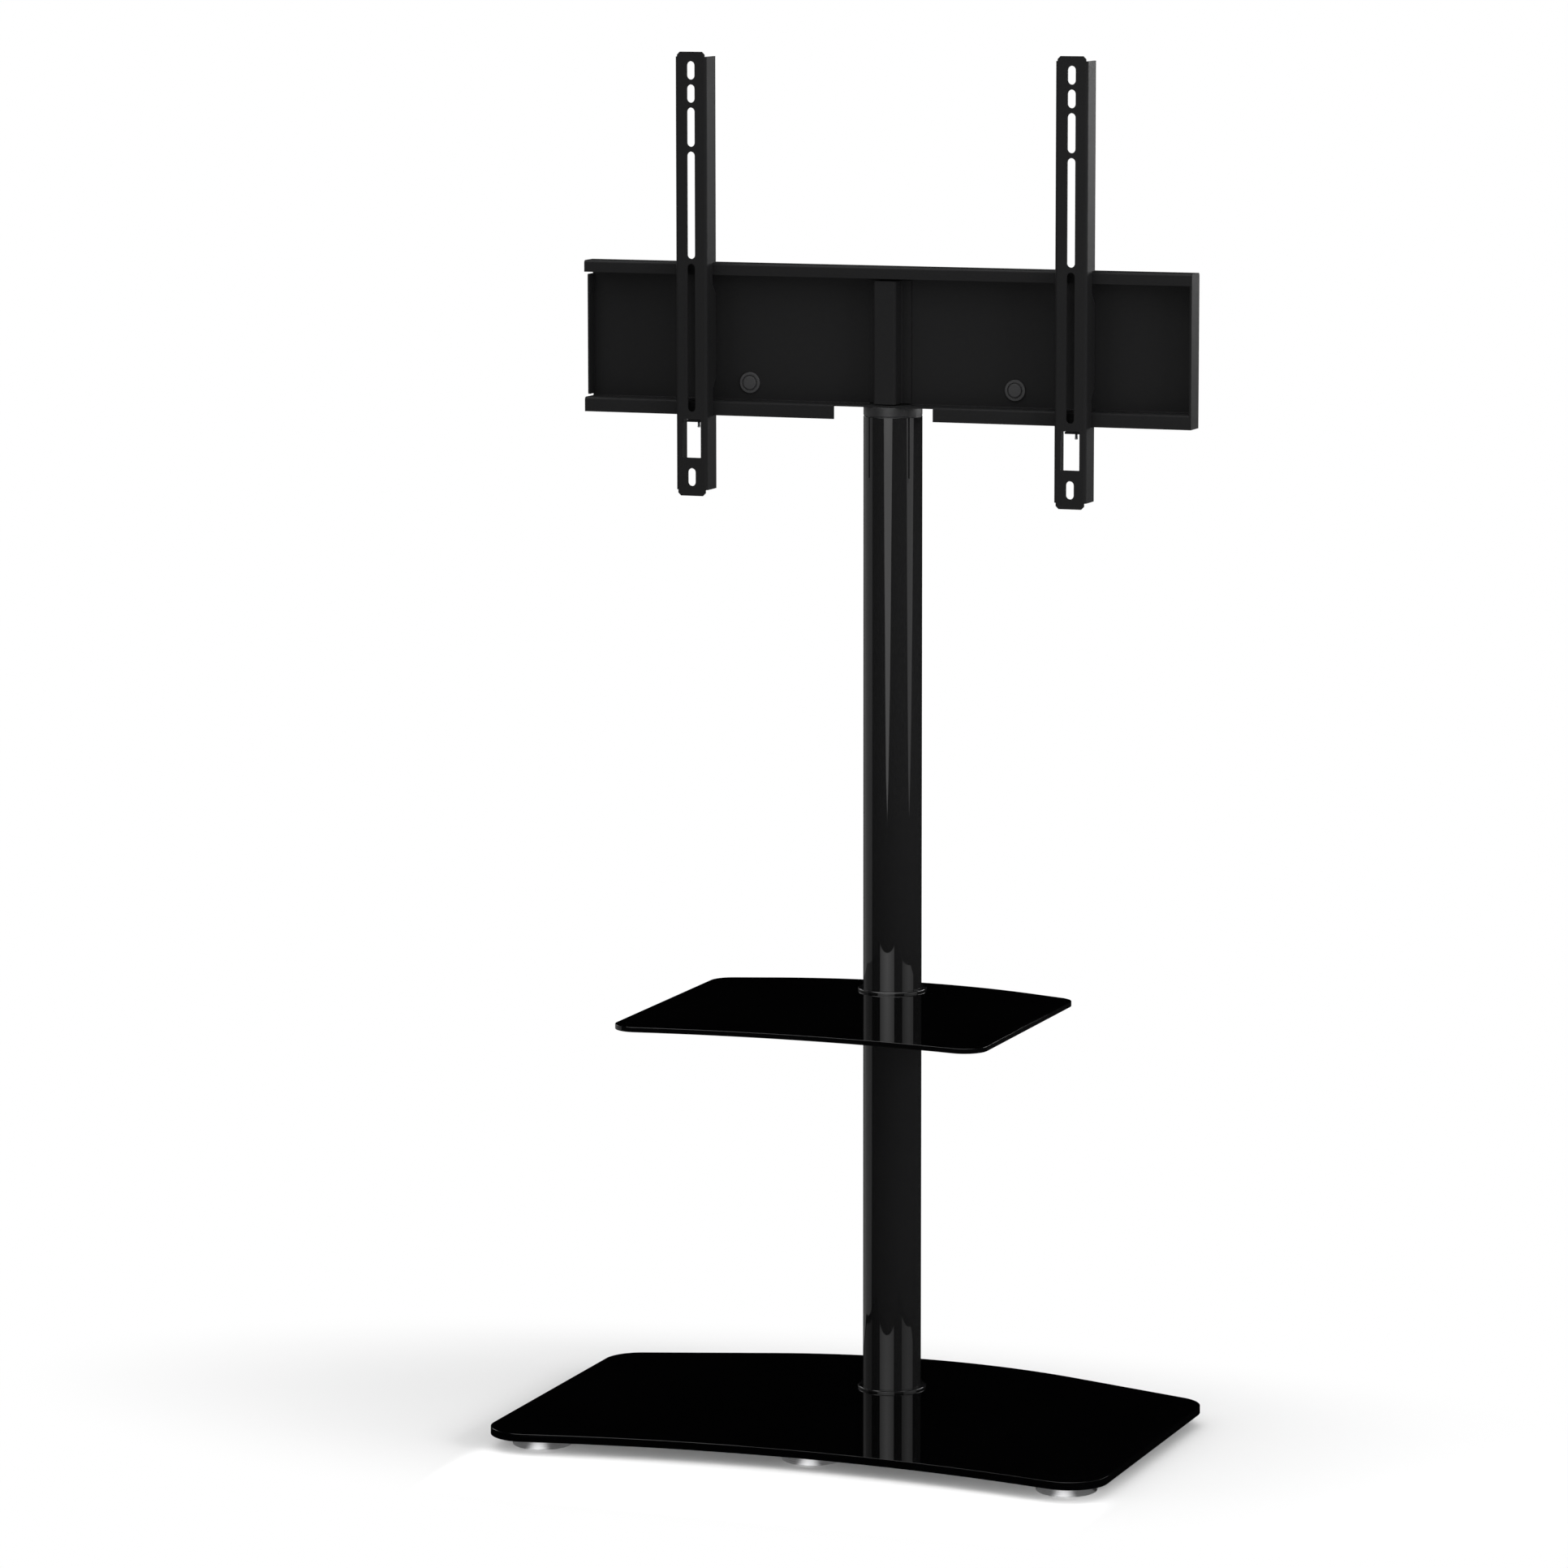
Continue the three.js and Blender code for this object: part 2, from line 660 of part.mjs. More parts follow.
function swivelBush() {
  const flangeRadius = columnRadius - bushFlangeInset;
  const flangeBottom = columnTop + seatGap;
  const inner = spindleRadius + slipGap;
  const section = [
    [bushRadius, bearingBottom],
    [bushRadius, flangeBottom],
    [flangeRadius, flangeBottom],
    [flangeRadius, flangeBottom + bushFlange],
    [inner, flangeBottom + bushFlange],
    [inner, bearingBottom],
  ];
  return cut(turned(section, ringSteps), upPinHole(columnTop - overrun, columnTop + overrun));
}

place(assembly, "bearing_plug", bearingPlug(), "zincSteel");
place(assembly, "swivel_bush", swivelBush(), "nylon");
const pinChamfer = stopPinRadius / 5;
const stopPinTop = collarBottom + stopPinRise - slipGap;
const stopPin = rod(stopPinRadius, columnTop - stopPinDepth, stopPinTop, pinChamfer, boltSteps);
place(assembly, "stop_pin", stopPin, "zincSteel").position.y = stopPinCircle;

// Head: all that turns on the column. The collar has an arc groove round the stop pin, which ends the
// swivel each way.
const head = new THREE.Group();
head.name = "head";
assembly.add(head);

function stopGroove() {
  const half = THREE.MathUtils.degToRad(swivelHalfAngle);
  const width = stopPinRadius + slipGap;
  const middle = Math.PI / 2;
  const end = (angle, sign) => {
    const x = stopPinCircle * Math.cos(angle);
    const y = stopPinCircle * Math.sin(angle);
    const from = sign > 0 ? angle : angle + Math.PI;
    return arc(x, y, width, from, from + Math.PI, 2 * filletSteps).slice(1, -1);
  };
  const edge = [
    ...arc(0, 0, stopPinCircle + width, middle - half, middle + half, sweepSteps),
    ...end(middle + half, 1),
    ...arc(0, 0, stopPinCircle - width, middle + half, middle - half, sweepSteps),
    ...end(middle - half, -1),
  ];
  return upright(outline(edge), collarBottom - overrun, collarBottom + stopPinRise);
}

function swivelCollar() {
  const edge = columnWall / 4;
  const inner = spindleRadius + slipGap;
  const section = [
    [columnRadius - edge, collarBottom],
    [columnRadius, collarBottom + edge],
    [columnRadius, collarTop - edge],
    [columnRadius - edge, collarTop],
    [inner, collarTop],
    [inner, collarBottom],
  ];
  return cut(turned(section, columnSteps), stopGroove());
}

place(head, "swivel_collar", swivelCollar(), "powderCoat");
const spindleChamfer = spindleRadius / 12;
const spindle = rod(spindleRadius, columnTop - spindleReach, collarTop, spindleChamfer, ringSteps);
place(head, "swivel_spindle", spindle, "zincSteel");

const washerTop = bearingBottom - slipGap;
const nutTop = washerTop - washerThickness - seatGap;
const washerBore = spindleRadius + slipGap;
const washer = tube(washerRadius, washerBore, washerTop - washerThickness, washerTop, ringSteps);
place(head, "spindle_washer", washer, "zincSteel");

function lockNut() {
  const corner = nutFlats / Math.sqrt(3);
  const bevel = corner - nutFlats / 2;
  const bore = circle(0, 0, spindleRadius + slipGap, ringSteps).reverse();
  const body = upright(outline(hexagon(nutFlats), bore), nutTop - nutHeight, nutTop);
  const crown = rod(corner, nutTop - nutHeight, nutTop, bevel / 2, ringSteps);
  return common(body, crown);
}

place(head, "spindle_nut", lockNut(), "zincSteel");

// Tray.
const headBoltLow = flangeTop + barRise + (barHeight - headBoltPitch) / 2;
const headBoltHeights = [headBoltLow, headBoltLow + headBoltPitch];
const discHeight = flangeTop + discRise;
const discPlaces = { left: discLeft, right: discRight };

function tray() {
  const front = -trayFront;
  const back = -trayBack;
  const half = trayWidth / 2;
  const lipBottom = flangeTop - bottomLipDrop;
  const section = bentSheet(
    points([
      [front, trayTop - topLipDrop],
      [front, trayTop],
      [back, trayTop],
      [back, flangeUnderside],
      [lipInner, flangeUnderside],
      [lipInner, lipBottom],
    ]),
    traySheet,
    trayBend,
    -1,
  );
  const bendOuter = trayBend + traySheet;
  const endPlate = along(
    outline(
      roundedPath(
        points([[front, lipBottom], [back, lipBottom], [back, trayTop], [front, trayTop]]),
        [0, 0, bendOuter, bendOuter],
        true,
      ),
    ),
    half - traySheet,
    half,
  );
  const leftFlange = along(
    outline(
      rectangle(
        back - leftFlangeDepth,
        flangeTop + leftFlangeBottomRelief,
        back - traySheet / 2,
        trayTop - leftFlangeTopRelief,
        0,
      ),
    ),
    -half,
    traySheet - half,
  );
  const notch = upright(
    outline(rectangle(-notchWidth / 2, front - overrun, notchWidth / 2, front + notchSetback, 0)),
    lipBottom - overrun,
    flangeTop + overrun,
  );
  const hole = (x, z) => crossRod(x, z, traySlipHole, panelFront - overrun, back + overrun, boltSteps);
  const discHoles = Object.values(discPlaces).map((x) => hole(x, discHeight));
  const boltHoles = headBoltHeights.map((z) => hole(0, z));
  const sheet = join(along(section, -half, half), endPlate, leftFlange);
  return cut(sheet, notch, ...discHoles, ...boltHoles);
}

place(head, "tray", tray(), "powderCoat");

// Spine.
function spine() {
  const back = panelFront - seatGap;
  const flange = back - spineSheet;
  const front = back - spineDepth;
  const inner = spineWidth / 2;
  const outer = inner + spineFlange;
  const section = bentSheet(
    points([[-outer, flange], [-inner, flange], [-inner, front], [inner, front], [inner, flange], [outer, flange]]),
    spineSheet,
    trayBend,
    1,
  );
  return upright(section, flangeTop + trayBend + seatGap, flangeTop + spineHeight);
}

place(head, "spine", spine(), "powderCoat");

// Disc-headed screws.
function discScrew() {
  const grooveOuter = discHeadRadius + discGroove;
  const grooveFloor = discThickness - discGrooveDepth;
  const headTop = discThickness + discHeadRise;
  const tip = plateThickness + traySheet + 2 * seatGap;
  const section = [
    [0, -tip],
    [boltRadius, -tip],
    [boltRadius, 0],
    [discRadius, 0],
    [discRadius, discThickness - discEdge],
    [discRadius - discEdge, discThickness],
    [grooveOuter, discThickness],
    [grooveOuter, grooveFloor],
    [discHeadRadius, grooveFloor],
    [discHeadRadius, headTop - discEdge],
    [discHeadRadius - discEdge, headTop],
    [0, headTop],
  ];
  return turned(section, ringSteps).rotateX(Math.PI / 2);
}

for (const [side, x] of Object.entries(discPlaces)) {
  place(head, "disc_screw_" + side, discScrew(), "powderCoat").position.set(x, panelFront - seatGap, discHeight);
}

// Head bracket.
function headPlate() {
  const bottom = collarTop + seatGap;
  const arm = bottom + plateArm;
  const top = bottom + plateHeight;
  const wide = plateWidth / 2;
  const narrow = plateStem / 2;
  const corners = points([
    [-wide, bottom], [wide, bottom], [wide, arm], [narrow, arm],
    [narrow, top], [-narrow, top], [-narrow, arm], [-wide, arm],
  ]);
  const radii = [plateCorner, plateCorner, plateCorner, plateInnerCorner];
  const edge = roundedPath(corners, [...radii, plateCorner, plateCorner, plateInnerCorner, plateCorner], true);
  const hole = (x, z) => circle(x, z, boltRadius + slipGap, boltSteps).reverse();
  const discHoles = Object.values(discPlaces).map((x) => hole(x, discHeight));
  const boltHoles = headBoltHeights.map((z) => hole(0, z));
  return facing(outline(edge, ...discHoles, ...boltHoles), plateFront, plateFront + plateThickness);
}

place(head, "head_plate", headPlate(), "powderCoat");

function headPost() {
  const half = postWidth / 2;
  const back = postFront + postDepth;
  const bottom = collarTop + seatGap;
  const outer = rectangle(-half, postFront, half, back, postCorner);
  const inner = rectangle(-half + postWall, postFront + postWall, half - postWall, back - postWall, postCorner / 2);
  const body = upright(outline(outer, inner.reverse()), bottom, bottom + postHeight);
  const holes = headBoltHeights.map((z) =>
    crossRod(0, z, boltRadius + slipGap, postFront - overrun, back + overrun, boltSteps),
  );
  return cut(body, ...holes);
}

place(head, "head_post", headPost(), "powderCoat");

function postCap() {
  const half = postWidth / 2;
  const back = postFront + postDepth;
  const top = collarTop + seatGap + postHeight;
  const inset = postWall + slipGap;
  const lid = rectangle(-half, postFront, half, back, postCorner);
  const plug = rectangle(-half + inset, postFront + inset, half - inset, back - inset, postCorner / 2);
  const lidBottom = top + seatGap;
  return join(
    upright(outline(lid), lidBottom, lidBottom + capLip),
    upright(outline(plug), top - capPlug, lidBottom + capLip / 2),
  );
}

place(head, "post_cap", postCap(), "nylon");

// Backing bar inside the spine, with the threads for the two head bolts.
const barBack = panelFront - seatGap;
const barHoles = headBoltHeights.map((z) => circle(0, z, boltRadius + slipGap, boltSteps).reverse());
const barEdge = rectangle(
  -barWidth / 2, flangeTop + barRise, barWidth / 2, flangeTop + barRise + barHeight, barWidth / 8,
);
place(head, "backing_bar", facing(outline(barEdge, ...barHoles), barBack - barDepth, barBack), "zincSteel");

// A hexagon-headed bolt that lies along Y. Its head rests on the back of the post.
function headBolt() {
  const seat = postFront + postDepth + seatGap;
  const tip = barBack - barDepth - headBoltTip;
  const corner = headBoltHeadFlats / Math.sqrt(3);
  const top = seat + headBoltHeadHeight;
  const hex = facing(outline(hexagon(headBoltHeadFlats)), seat, top);
  const crown = rod(corner, -top, -seat, (corner - headBoltHeadFlats / 2) / 2, ringSteps).rotateX(Math.PI / 2);
  return join(common(hex, crown), crossRod(0, 0, boltRadius, tip, seat + headBoltHeadHeight / 2, boltSteps));
}

["lower", "upper"].forEach((level, i) => {
  place(head, "head_bolt_" + level, headBolt(), "zincSteel").position.z = headBoltHeights[i];
});

// Rails. Each is drawn about its own middle plane, and its group sets where it stands on the tray.
const innerHalf = railWidth / 2 - railSheet;

function railSlots() {
  const slots = [slot(0, railFoot + bottomSlotRise + bottomSlotLength / 2, slotWidth, bottomSlotLength)];
  let bottom = railFoot + slotsRise;
  for (const length of slotLengths) {
    slots.push(slot(0, bottom + length / 2, slotWidth, length));
    bottom += length + slotGap;
  }
  return slots;
}

// The space that the lips and flanges of the tray need behind the rail's front, as a section in Y and Z.
function lipSpaces() {
  const far = railRear + overrun;
  const run = (far - railRecess) / (railRear - railRecess);
  const lowStep = flangeTop - bottomLipDrop - railHangGap;
  const lowSlope = flangeTop + bulgeBottom;
  const highStep = trayTop + railHangGap;
  const highSlope = trayTop - bulgeTop;
  const lower = [[railRecess, lowStep], [far, lowStep], [far, lowSlope + run * bulgeSlope], [railRecess, lowSlope]];
  const upper = [[railRecess, highSlope], [far, highSlope - run * bulgeSlope], [far, highStep], [railRecess, highStep]];
  return [lower, upper].map((edge) => outline(points(edge)));
}

function rail() {
  const half = railWidth / 2;
  const section = bentSheet(
    points([[-half, railRear], [-half, railFront], [half, railFront], [half, railRear]]),
    railSheet,
    railBend,
    1,
  );
  const bodyTop = railBodyBottom + railBodyHeight;
  const tab = railTabWidth / 2;
  const tabTop = bodyTop + railTopTab;
  const tabs = roundedTabs(tab, tabTop);
  const body = join(upright(section, railBodyBottom, bodyTop), facing(outline(tabs), railFront, railFront + railSheet));
  const wide = half + overrun;
  const front = railFront - overrun;
  const back = railFront + railSheet + overrun;
  const windowBottom = railFoot + windowRise;
  const window = rectangle(
    -windowWidth / 2, windowBottom, windowWidth / 2, windowBottom + windowHeight, windowCorner,
  );
  const openings = [...railSlots(), window].map((edge) => facing(outline(edge), front, back));
  return cut(body, ...lipSpaces().map((space) => along(space, -wide, wide)), ...openings);
}

// The strip of the rail's front that runs on past both ends of its walls, with its corners cut.
function roundedTabs(tab, tabTop) {
  const chamfer = railTabChamfer;
  return points([
    [-tab + chamfer, railFoot], [tab - chamfer, railFoot], [tab, railFoot + chamfer], [tab, tabTop - chamfer],
    [tab - chamfer, tabTop], [-tab + chamfer, tabTop], [-tab, tabTop - chamfer], [-tab, railFoot + chamfer],
  ]);
}

// The hook plate is a strip across the channel. It stands behind the top lip and keeps the rail on the
// tray.
function hookPlate() {
  const front = lipInner + hookLipGap;
  const top = trayTop - traySheet - hookTopGap;
  const wide = innerHalf - slipGap;
  return facing(outline(rectangle(-wide, top - hookHeight, wide, top, 0)), front, front + hookSheet);
}

// The lock tab stands square to the rail's right wall, under the bottom lip. Its lock screw rises behind
// the lip, and its tip meets the underside of the bottom flange.
const lockTabBottom = railFoot + lockTabRise;
const lockScrewY = lipInner + slipGap + lockScrewRadius;

function lockTab() {
  const right = innerHalf - slipGap;
  const left = right - lockTabReach;
  const front = railFront + railSheet + slipGap;
  const back = front + lockTabDepth;
  const corners = points([[left, front], [right, front], [right, back], [left, back]]);
  const edge = roundedPath(corners, [lockTabCorner, 0, 0, lockTabCorner], true);
  const thread = circle(0, lockScrewY, lockScrewRadius + slipGap, boltSteps).reverse();
  return upright(outline(edge, thread), lockTabBottom, lockTabBottom + lockTabSheet);
}

function lockScrew() {
  const bottom = lockTabBottom - lockScrewDrop;
  const body = rod(lockScrewRadius, bottom, flangeUnderside - seatGap, lockScrewRadius / 5, boltSteps);
  const socket = outline(circle(0, 0, lockScrewSocket, 6));
  return cut(body, upright(socket, bottom - overrun, bottom + lockScrewSocketDepth));
}

for (const [side, x] of Object.entries({ left: railLeft, right: railRight })) {
  const group = new THREE.Group();
  group.name = "rail_group_" + side;
  group.position.x = x;
  place(group, "rail_" + side, rail(), "powderCoat");
  place(group, "hook_plate_" + side, hookPlate(), "powderCoat");
  place(group, "lock_tab_" + side, lockTab(), "powderCoat");
  place(group, "lock_screw_" + side, lockScrew(), "zincSteel").position.y = lockScrewY;
  head.add(group);
}

// The column stands behind the middle of the base's outline.
assembly.position.y = -(basePlan.foremost + baseBackReach) / 2;

export default assembly;
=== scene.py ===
import json
import math

import bmesh
import bpy
from mathutils import Matrix, Vector

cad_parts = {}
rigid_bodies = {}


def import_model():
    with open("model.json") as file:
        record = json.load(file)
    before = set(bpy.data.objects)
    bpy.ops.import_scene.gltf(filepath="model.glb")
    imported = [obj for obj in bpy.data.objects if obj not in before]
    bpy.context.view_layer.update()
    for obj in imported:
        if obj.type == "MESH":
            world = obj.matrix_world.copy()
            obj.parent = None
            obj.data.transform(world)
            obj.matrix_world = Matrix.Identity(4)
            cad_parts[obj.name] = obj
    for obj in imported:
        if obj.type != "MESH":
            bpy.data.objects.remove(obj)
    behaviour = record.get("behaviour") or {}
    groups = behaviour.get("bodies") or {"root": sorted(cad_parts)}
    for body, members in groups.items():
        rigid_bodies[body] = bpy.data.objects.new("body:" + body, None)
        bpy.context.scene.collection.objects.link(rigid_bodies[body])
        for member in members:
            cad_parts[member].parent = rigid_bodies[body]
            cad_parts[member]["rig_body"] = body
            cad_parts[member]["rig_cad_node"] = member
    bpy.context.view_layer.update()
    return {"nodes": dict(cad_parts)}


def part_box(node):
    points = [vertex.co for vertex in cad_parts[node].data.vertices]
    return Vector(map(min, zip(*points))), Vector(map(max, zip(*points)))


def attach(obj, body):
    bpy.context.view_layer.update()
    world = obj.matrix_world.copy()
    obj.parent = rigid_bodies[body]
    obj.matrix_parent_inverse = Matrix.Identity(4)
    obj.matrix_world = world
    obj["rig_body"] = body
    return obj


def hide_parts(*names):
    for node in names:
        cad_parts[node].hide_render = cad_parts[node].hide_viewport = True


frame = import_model()
cad = frame["nodes"]


# Feet. Six pucks turned from bar steel, with a fine turned grain round their sides and a recess
# below. Each is bonded to the underside of the base glass: three along its front edge and three
# along its back.
def select_parts(piece, kind, test):
    """Selects, in edit mode, the faces, edges or points of a piece that pass a test."""
    bpy.ops.object.mode_set(mode="EDIT")
    mode = {"faces": "FACE", "edges": "EDGE", "verts": "VERT"}[kind]
    bpy.ops.mesh.select_mode(type=mode)
    bpy.ops.mesh.select_all(action="DESELECT")
    mesh = bmesh.from_edit_mesh(piece.data)
    for part in getattr(mesh, kind):
        if test(part):
            part.select_set(True)
    mesh.select_flush_mode()
    bmesh.update_edit_mesh(piece.data)


def start_piece(name):
    """Names the piece that was just added or copied."""
    piece = bpy.context.object
    piece.name = name
    piece.data.name = name
    return piece


def pick_piece(piece):
    """Selects one piece and nothing else."""
    bpy.ops.object.select_all(action="DESELECT")
    piece.select_set(True)
    bpy.context.view_layer.objects.active = piece


def lay_outline(name, places, fill="NGON"):
    """Lays a closed outline through the places, as one flat face or as bare edges."""
    bpy.ops.object.select_all(action="DESELECT")
    bpy.ops.mesh.primitive_circle_add(vertices=len(places), fill_type=fill)
    piece = start_piece(name)
    for point, place in zip(piece.data.vertices, places):
        point.co = place
    return piece


same_place = 1e-7
weld_gap = 1e-6


def round_corners(piece, places, rounds):
    """Rounds corners of a flat outline. Rounds are (corner, radius, segments)."""
    for corner, radius, segments in rounds:
        is_corner = lambda v, place=places[corner]: (v.co - place).length < same_place
        select_parts(piece, "verts", is_corner)
        bpy.ops.mesh.bevel(offset=radius, segments=segments, profile=0.5, affect="VERTICES")


def shade_true(piece, angle):
    """Shades rounded edges smooth and keeps the normals of large faces true."""
    pick_piece(piece)
    bpy.ops.object.shade_smooth_by_angle(angle=math.radians(angle))
    modifier = piece.modifiers.new("normals", "WEIGHTED_NORMAL")
    modifier.weight = 100
    modifier.keep_sharp = True
    bpy.ops.object.modifier_apply(modifier=modifier.name)


def lathe_turn(name, section, centre, axis="Z", rounds=(), steps=96, smooth=32):
    """Turns a piece on a lathe. The half section runs as (radius, height) points about an upright
    axis, or about an axis that points at the viewer. Rounds are (corner, radius, segments)."""
    centre = Vector(centre)
    out = {"Z": Vector((0, 0, 1)), "Y": Vector((0, -1, 0))}[axis]
    places = [centre + Vector((radius, 0, 0)) + out * height for radius, height in section]
    piece = lay_outline(name, places)
    round_corners(piece, places, rounds)
    select_parts(piece, "faces", lambda f: True)
    bpy.ops.mesh.delete(type="ONLY_FACE")
    on_axis = lambda v: abs(v.co.x - centre.x) < same_place
    select_parts(piece, "edges", lambda e: on_axis(e.verts[0]) and on_axis(e.verts[1]))
    bpy.ops.mesh.delete(type="EDGE_FACE")
    select_parts(piece, "verts", lambda v: True)
    bpy.ops.mesh.spin(steps=steps, angle=2 * math.pi, center=centre, axis=out)
    bpy.ops.mesh.select_all(action="SELECT")
    bpy.ops.mesh.remove_doubles(threshold=weld_gap)
    bpy.ops.mesh.normals_make_consistent(inside=False)
    bpy.ops.object.mode_set(mode="OBJECT")
    shade_true(piece, smooth)
    return piece


def copy_piece(piece, name, shift):
    """Copies a finished piece with its own mesh and sets it down in another place."""
    pick_piece(piece)
    bpy.ops.object.duplicate(linked=False)
    copy = start_piece(name)
    bpy.ops.object.mode_set(mode="EDIT")
    bpy.ops.mesh.select_all(action="SELECT")
    bpy.ops.transform.translate(value=shift)
    bpy.ops.object.mode_set(mode="OBJECT")
    return copy


def new_finish(name, colour, metallic, roughness):
    """A shader and the Object coordinates that its grain follows."""
    material = bpy.data.materials.new(name)
    material.use_nodes = True
    tree = material.node_tree
    shader = tree.nodes["Principled BSDF"]
    shader.inputs["Base Color"].default_value = (*colour, 1)
    shader.inputs["Metallic"].default_value = metallic
    shader.inputs["Roughness"].default_value = roughness
    coords = tree.nodes.new("ShaderNodeTexCoord")
    return material, tree, shader, coords


def add_grain(tree, coords, scale, detail, stretch=(1, 1, 1)):
    """Noise on Object coordinates, drawn out along an axis where the stretch is small."""
    mapping = tree.nodes.new("ShaderNodeMapping")
    mapping.inputs["Scale"].default_value = stretch
    tree.links.new(coords.outputs["Object"], mapping.inputs["Vector"])
    noise = tree.nodes.new("ShaderNodeTexNoise")
    noise.inputs["Scale"].default_value = scale
    noise.inputs["Detail"].default_value = detail
    tree.links.new(mapping.outputs["Vector"], noise.inputs["Vector"])
    return noise.outputs["Fac"]


def map_level(tree, source, start, end, low, high, smooth=False):
    """Maps a shader value from the range start to end onto the range low to high."""
    level = tree.nodes.new("ShaderNodeMapRange")
    level.interpolation_type = "SMOOTHSTEP" if smooth else "LINEAR"
    level.inputs["From Min"].default_value = start
    level.inputs["From Max"].default_value = end
    level.inputs["To Min"].default_value = low
    level.inputs["To Max"].default_value = high
    tree.links.new(source, level.inputs["Value"])
    return level.outputs["Result"]


grain_low = 0.3  # most of a noise lies between these two levels
grain_high = 0.7


def drive(tree, grain, target, low, high):
    """Lets a grain vary a shader value between two levels."""
    tree.links.new(map_level(tree, grain, grain_low, grain_high, low, high), target)


def tint(tree, grain, shader, dark, light):
    """Lets a grain vary the colour between two tones."""
    ramp = tree.nodes.new("ShaderNodeValToRGB")
    ramp.color_ramp.elements[0].position = grain_low
    ramp.color_ramp.elements[0].color = (*dark, 1)
    ramp.color_ramp.elements[1].position = grain_high
    ramp.color_ramp.elements[1].color = (*light, 1)
    tree.links.new(grain, ramp.inputs["Fac"])
    tree.links.new(ramp.outputs["Color"], shader.inputs["Base Color"])


def emboss(tree, grain, shader, strength, depth):
    """Raises a grain on the surface."""
    bump = tree.nodes.new("ShaderNodeBump")
    bump.inputs["Strength"].default_value = strength
    bump.inputs["Distance"].default_value = depth
    tree.links.new(grain, bump.inputs["Height"])
    tree.links.new(bump.outputs["Normal"], shader.inputs["Normal"])


turned_steel, tree, shader, coords = new_finish("turned_steel", (0.62, 0.62, 0.63), 1, 0.3)
grain = add_grain(tree, coords, 60, 3, (0.6, 0.6, 60))
drive(tree, grain, shader.inputs["Roughness"], 0.26, 0.34)
tint(tree, grain, shader, (0.56, 0.56, 0.57), (0.68, 0.68, 0.69))
emboss(tree, grain, shader, 0.15, 0.0002)


def fit_piece(piece, body, finish, slot, *nodes):
    """Gives a piece its finish, lets it ride on a body and puts it in place of CAD nodes."""
    piece.data.materials.clear()
    piece.data.materials.append(finish)
    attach(piece, body)
    if nodes:
        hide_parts(*nodes)


foot_radius = 0.0302
foot_bottom = 0.001
foot_top = 0.0142
foot_recess = 0.0015
pad_radius = 0.027
recess_radius = pad_radius + 0.0003
corners = ("front_left", "front_middle", "front_right", "rear_left", "rear_middle", "rear_right")
first_foot = None
for corner in corners:
    low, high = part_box("foot_" + corner)
    centre = Vector(((low.x + high.x) / 2, (low.y + high.y) / 2, 0))
    if first_foot is None:
        first_foot = lathe_turn(
            "turned_foot_" + corner,
            [
                (0, foot_bottom + foot_recess), (recess_radius, foot_bottom + foot_recess),
                (recess_radius, foot_bottom), (foot_radius, foot_bottom),
                (foot_radius, foot_top), (0, foot_top),
            ],
            centre, rounds=[(2, 0.0003, 2), (3, 0.0005, 4), (4, 0.0007, 3)],
        )
        first_centre = centre
        foot = first_foot
    else:
        foot = copy_piece(first_foot, "turned_foot_" + corner, centre - first_centre)
    fit_piece(foot, "stand", turned_steel, "brushed_steel", "foot_" + corner)


# Foot pads. A disc of black rubber is glued into the recess of each foot and stands a little below
# the steel, with a rounded edge and two moulded grip rings on its face.
soft_rubber, tree, shader, coords = new_finish("soft_rubber", (0.014, 0.014, 0.015), 0, 0.8)
grain = add_grain(tree, coords, 900, 4)
drive(tree, grain, shader.inputs["Roughness"], 0.7, 0.92)
tint(tree, grain, shader, (0.011, 0.011, 0.012), (0.02, 0.02, 0.021))
emboss(tree, grain, shader, 0.3, 0.0002)

pad_top = 0.0024
ring_depth = 0.0005
grip_rings = []
for ring in (0.0120, 0.0210):
    grip_rings += [(ring, 0), (ring + 0.0004, ring_depth)]
    grip_rings += [(ring + 0.0012, ring_depth), (ring + 0.0016, 0)]
first_pad = None
for corner in corners:
    low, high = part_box("foot_pad_" + corner)
    centre = Vector(((low.x + high.x) / 2, (low.y + high.y) / 2, 0))
    if first_pad is None:
        first_pad = lathe_turn(
            "rubber_pad_" + corner,
            [(0, 0), *grip_rings, (pad_radius, 0), (pad_radius, pad_top), (0, pad_top)],
            centre, rounds=[(9, 0.0008, 4)],
        )
        pad = first_pad
        first_centre = centre
    else:
        pad = copy_piece(first_pad, "rubber_pad_" + corner, centre - first_centre)
    fit_piece(pad, "stand", soft_rubber, "rubber", "foot_pad_" + corner)


# Base glass. One sheet of 8 mm tempered black glass, cut to a hollow curve in front and a bow
# behind, ground and polished round its edge, with one hole for the column's joint.
axis_y = 0.09928  # the column's axis


def extrude_outline(name, outline, plane, near, far, rounds=(), segments=6, smooth=12):
    """Fills a flat outline, rounds its corners and gives it a thickness. The plane is seen from
    above (XY), from the front (XZ) or from the right (YZ). Rounds are (corner, radius)."""
    lay = {
        "XY": lambda u, v, w: Vector((u, v, w)),
        "XZ": lambda u, v, w: Vector((u, w, v)),
        "YZ": lambda u, v, w: Vector((w, u, v)),
    }[plane]
    places = [lay(u, v, near) for u, v in outline]
    piece = lay_outline(name, places)
    round_corners(piece, places, [(corner, radius, segments) for corner, radius in rounds])
    select_parts(piece, "faces", lambda f: True)
    bpy.ops.mesh.extrude_region_move(TRANSFORM_OT_translate={"value": lay(0, 0, far - near)})
    bpy.ops.mesh.select_all(action="SELECT")
    bpy.ops.mesh.normals_make_consistent(inside=False)
    bpy.ops.object.mode_set(mode="OBJECT")
    bpy.ops.object.shade_smooth_by_angle(angle=math.radians(smooth))
    return piece


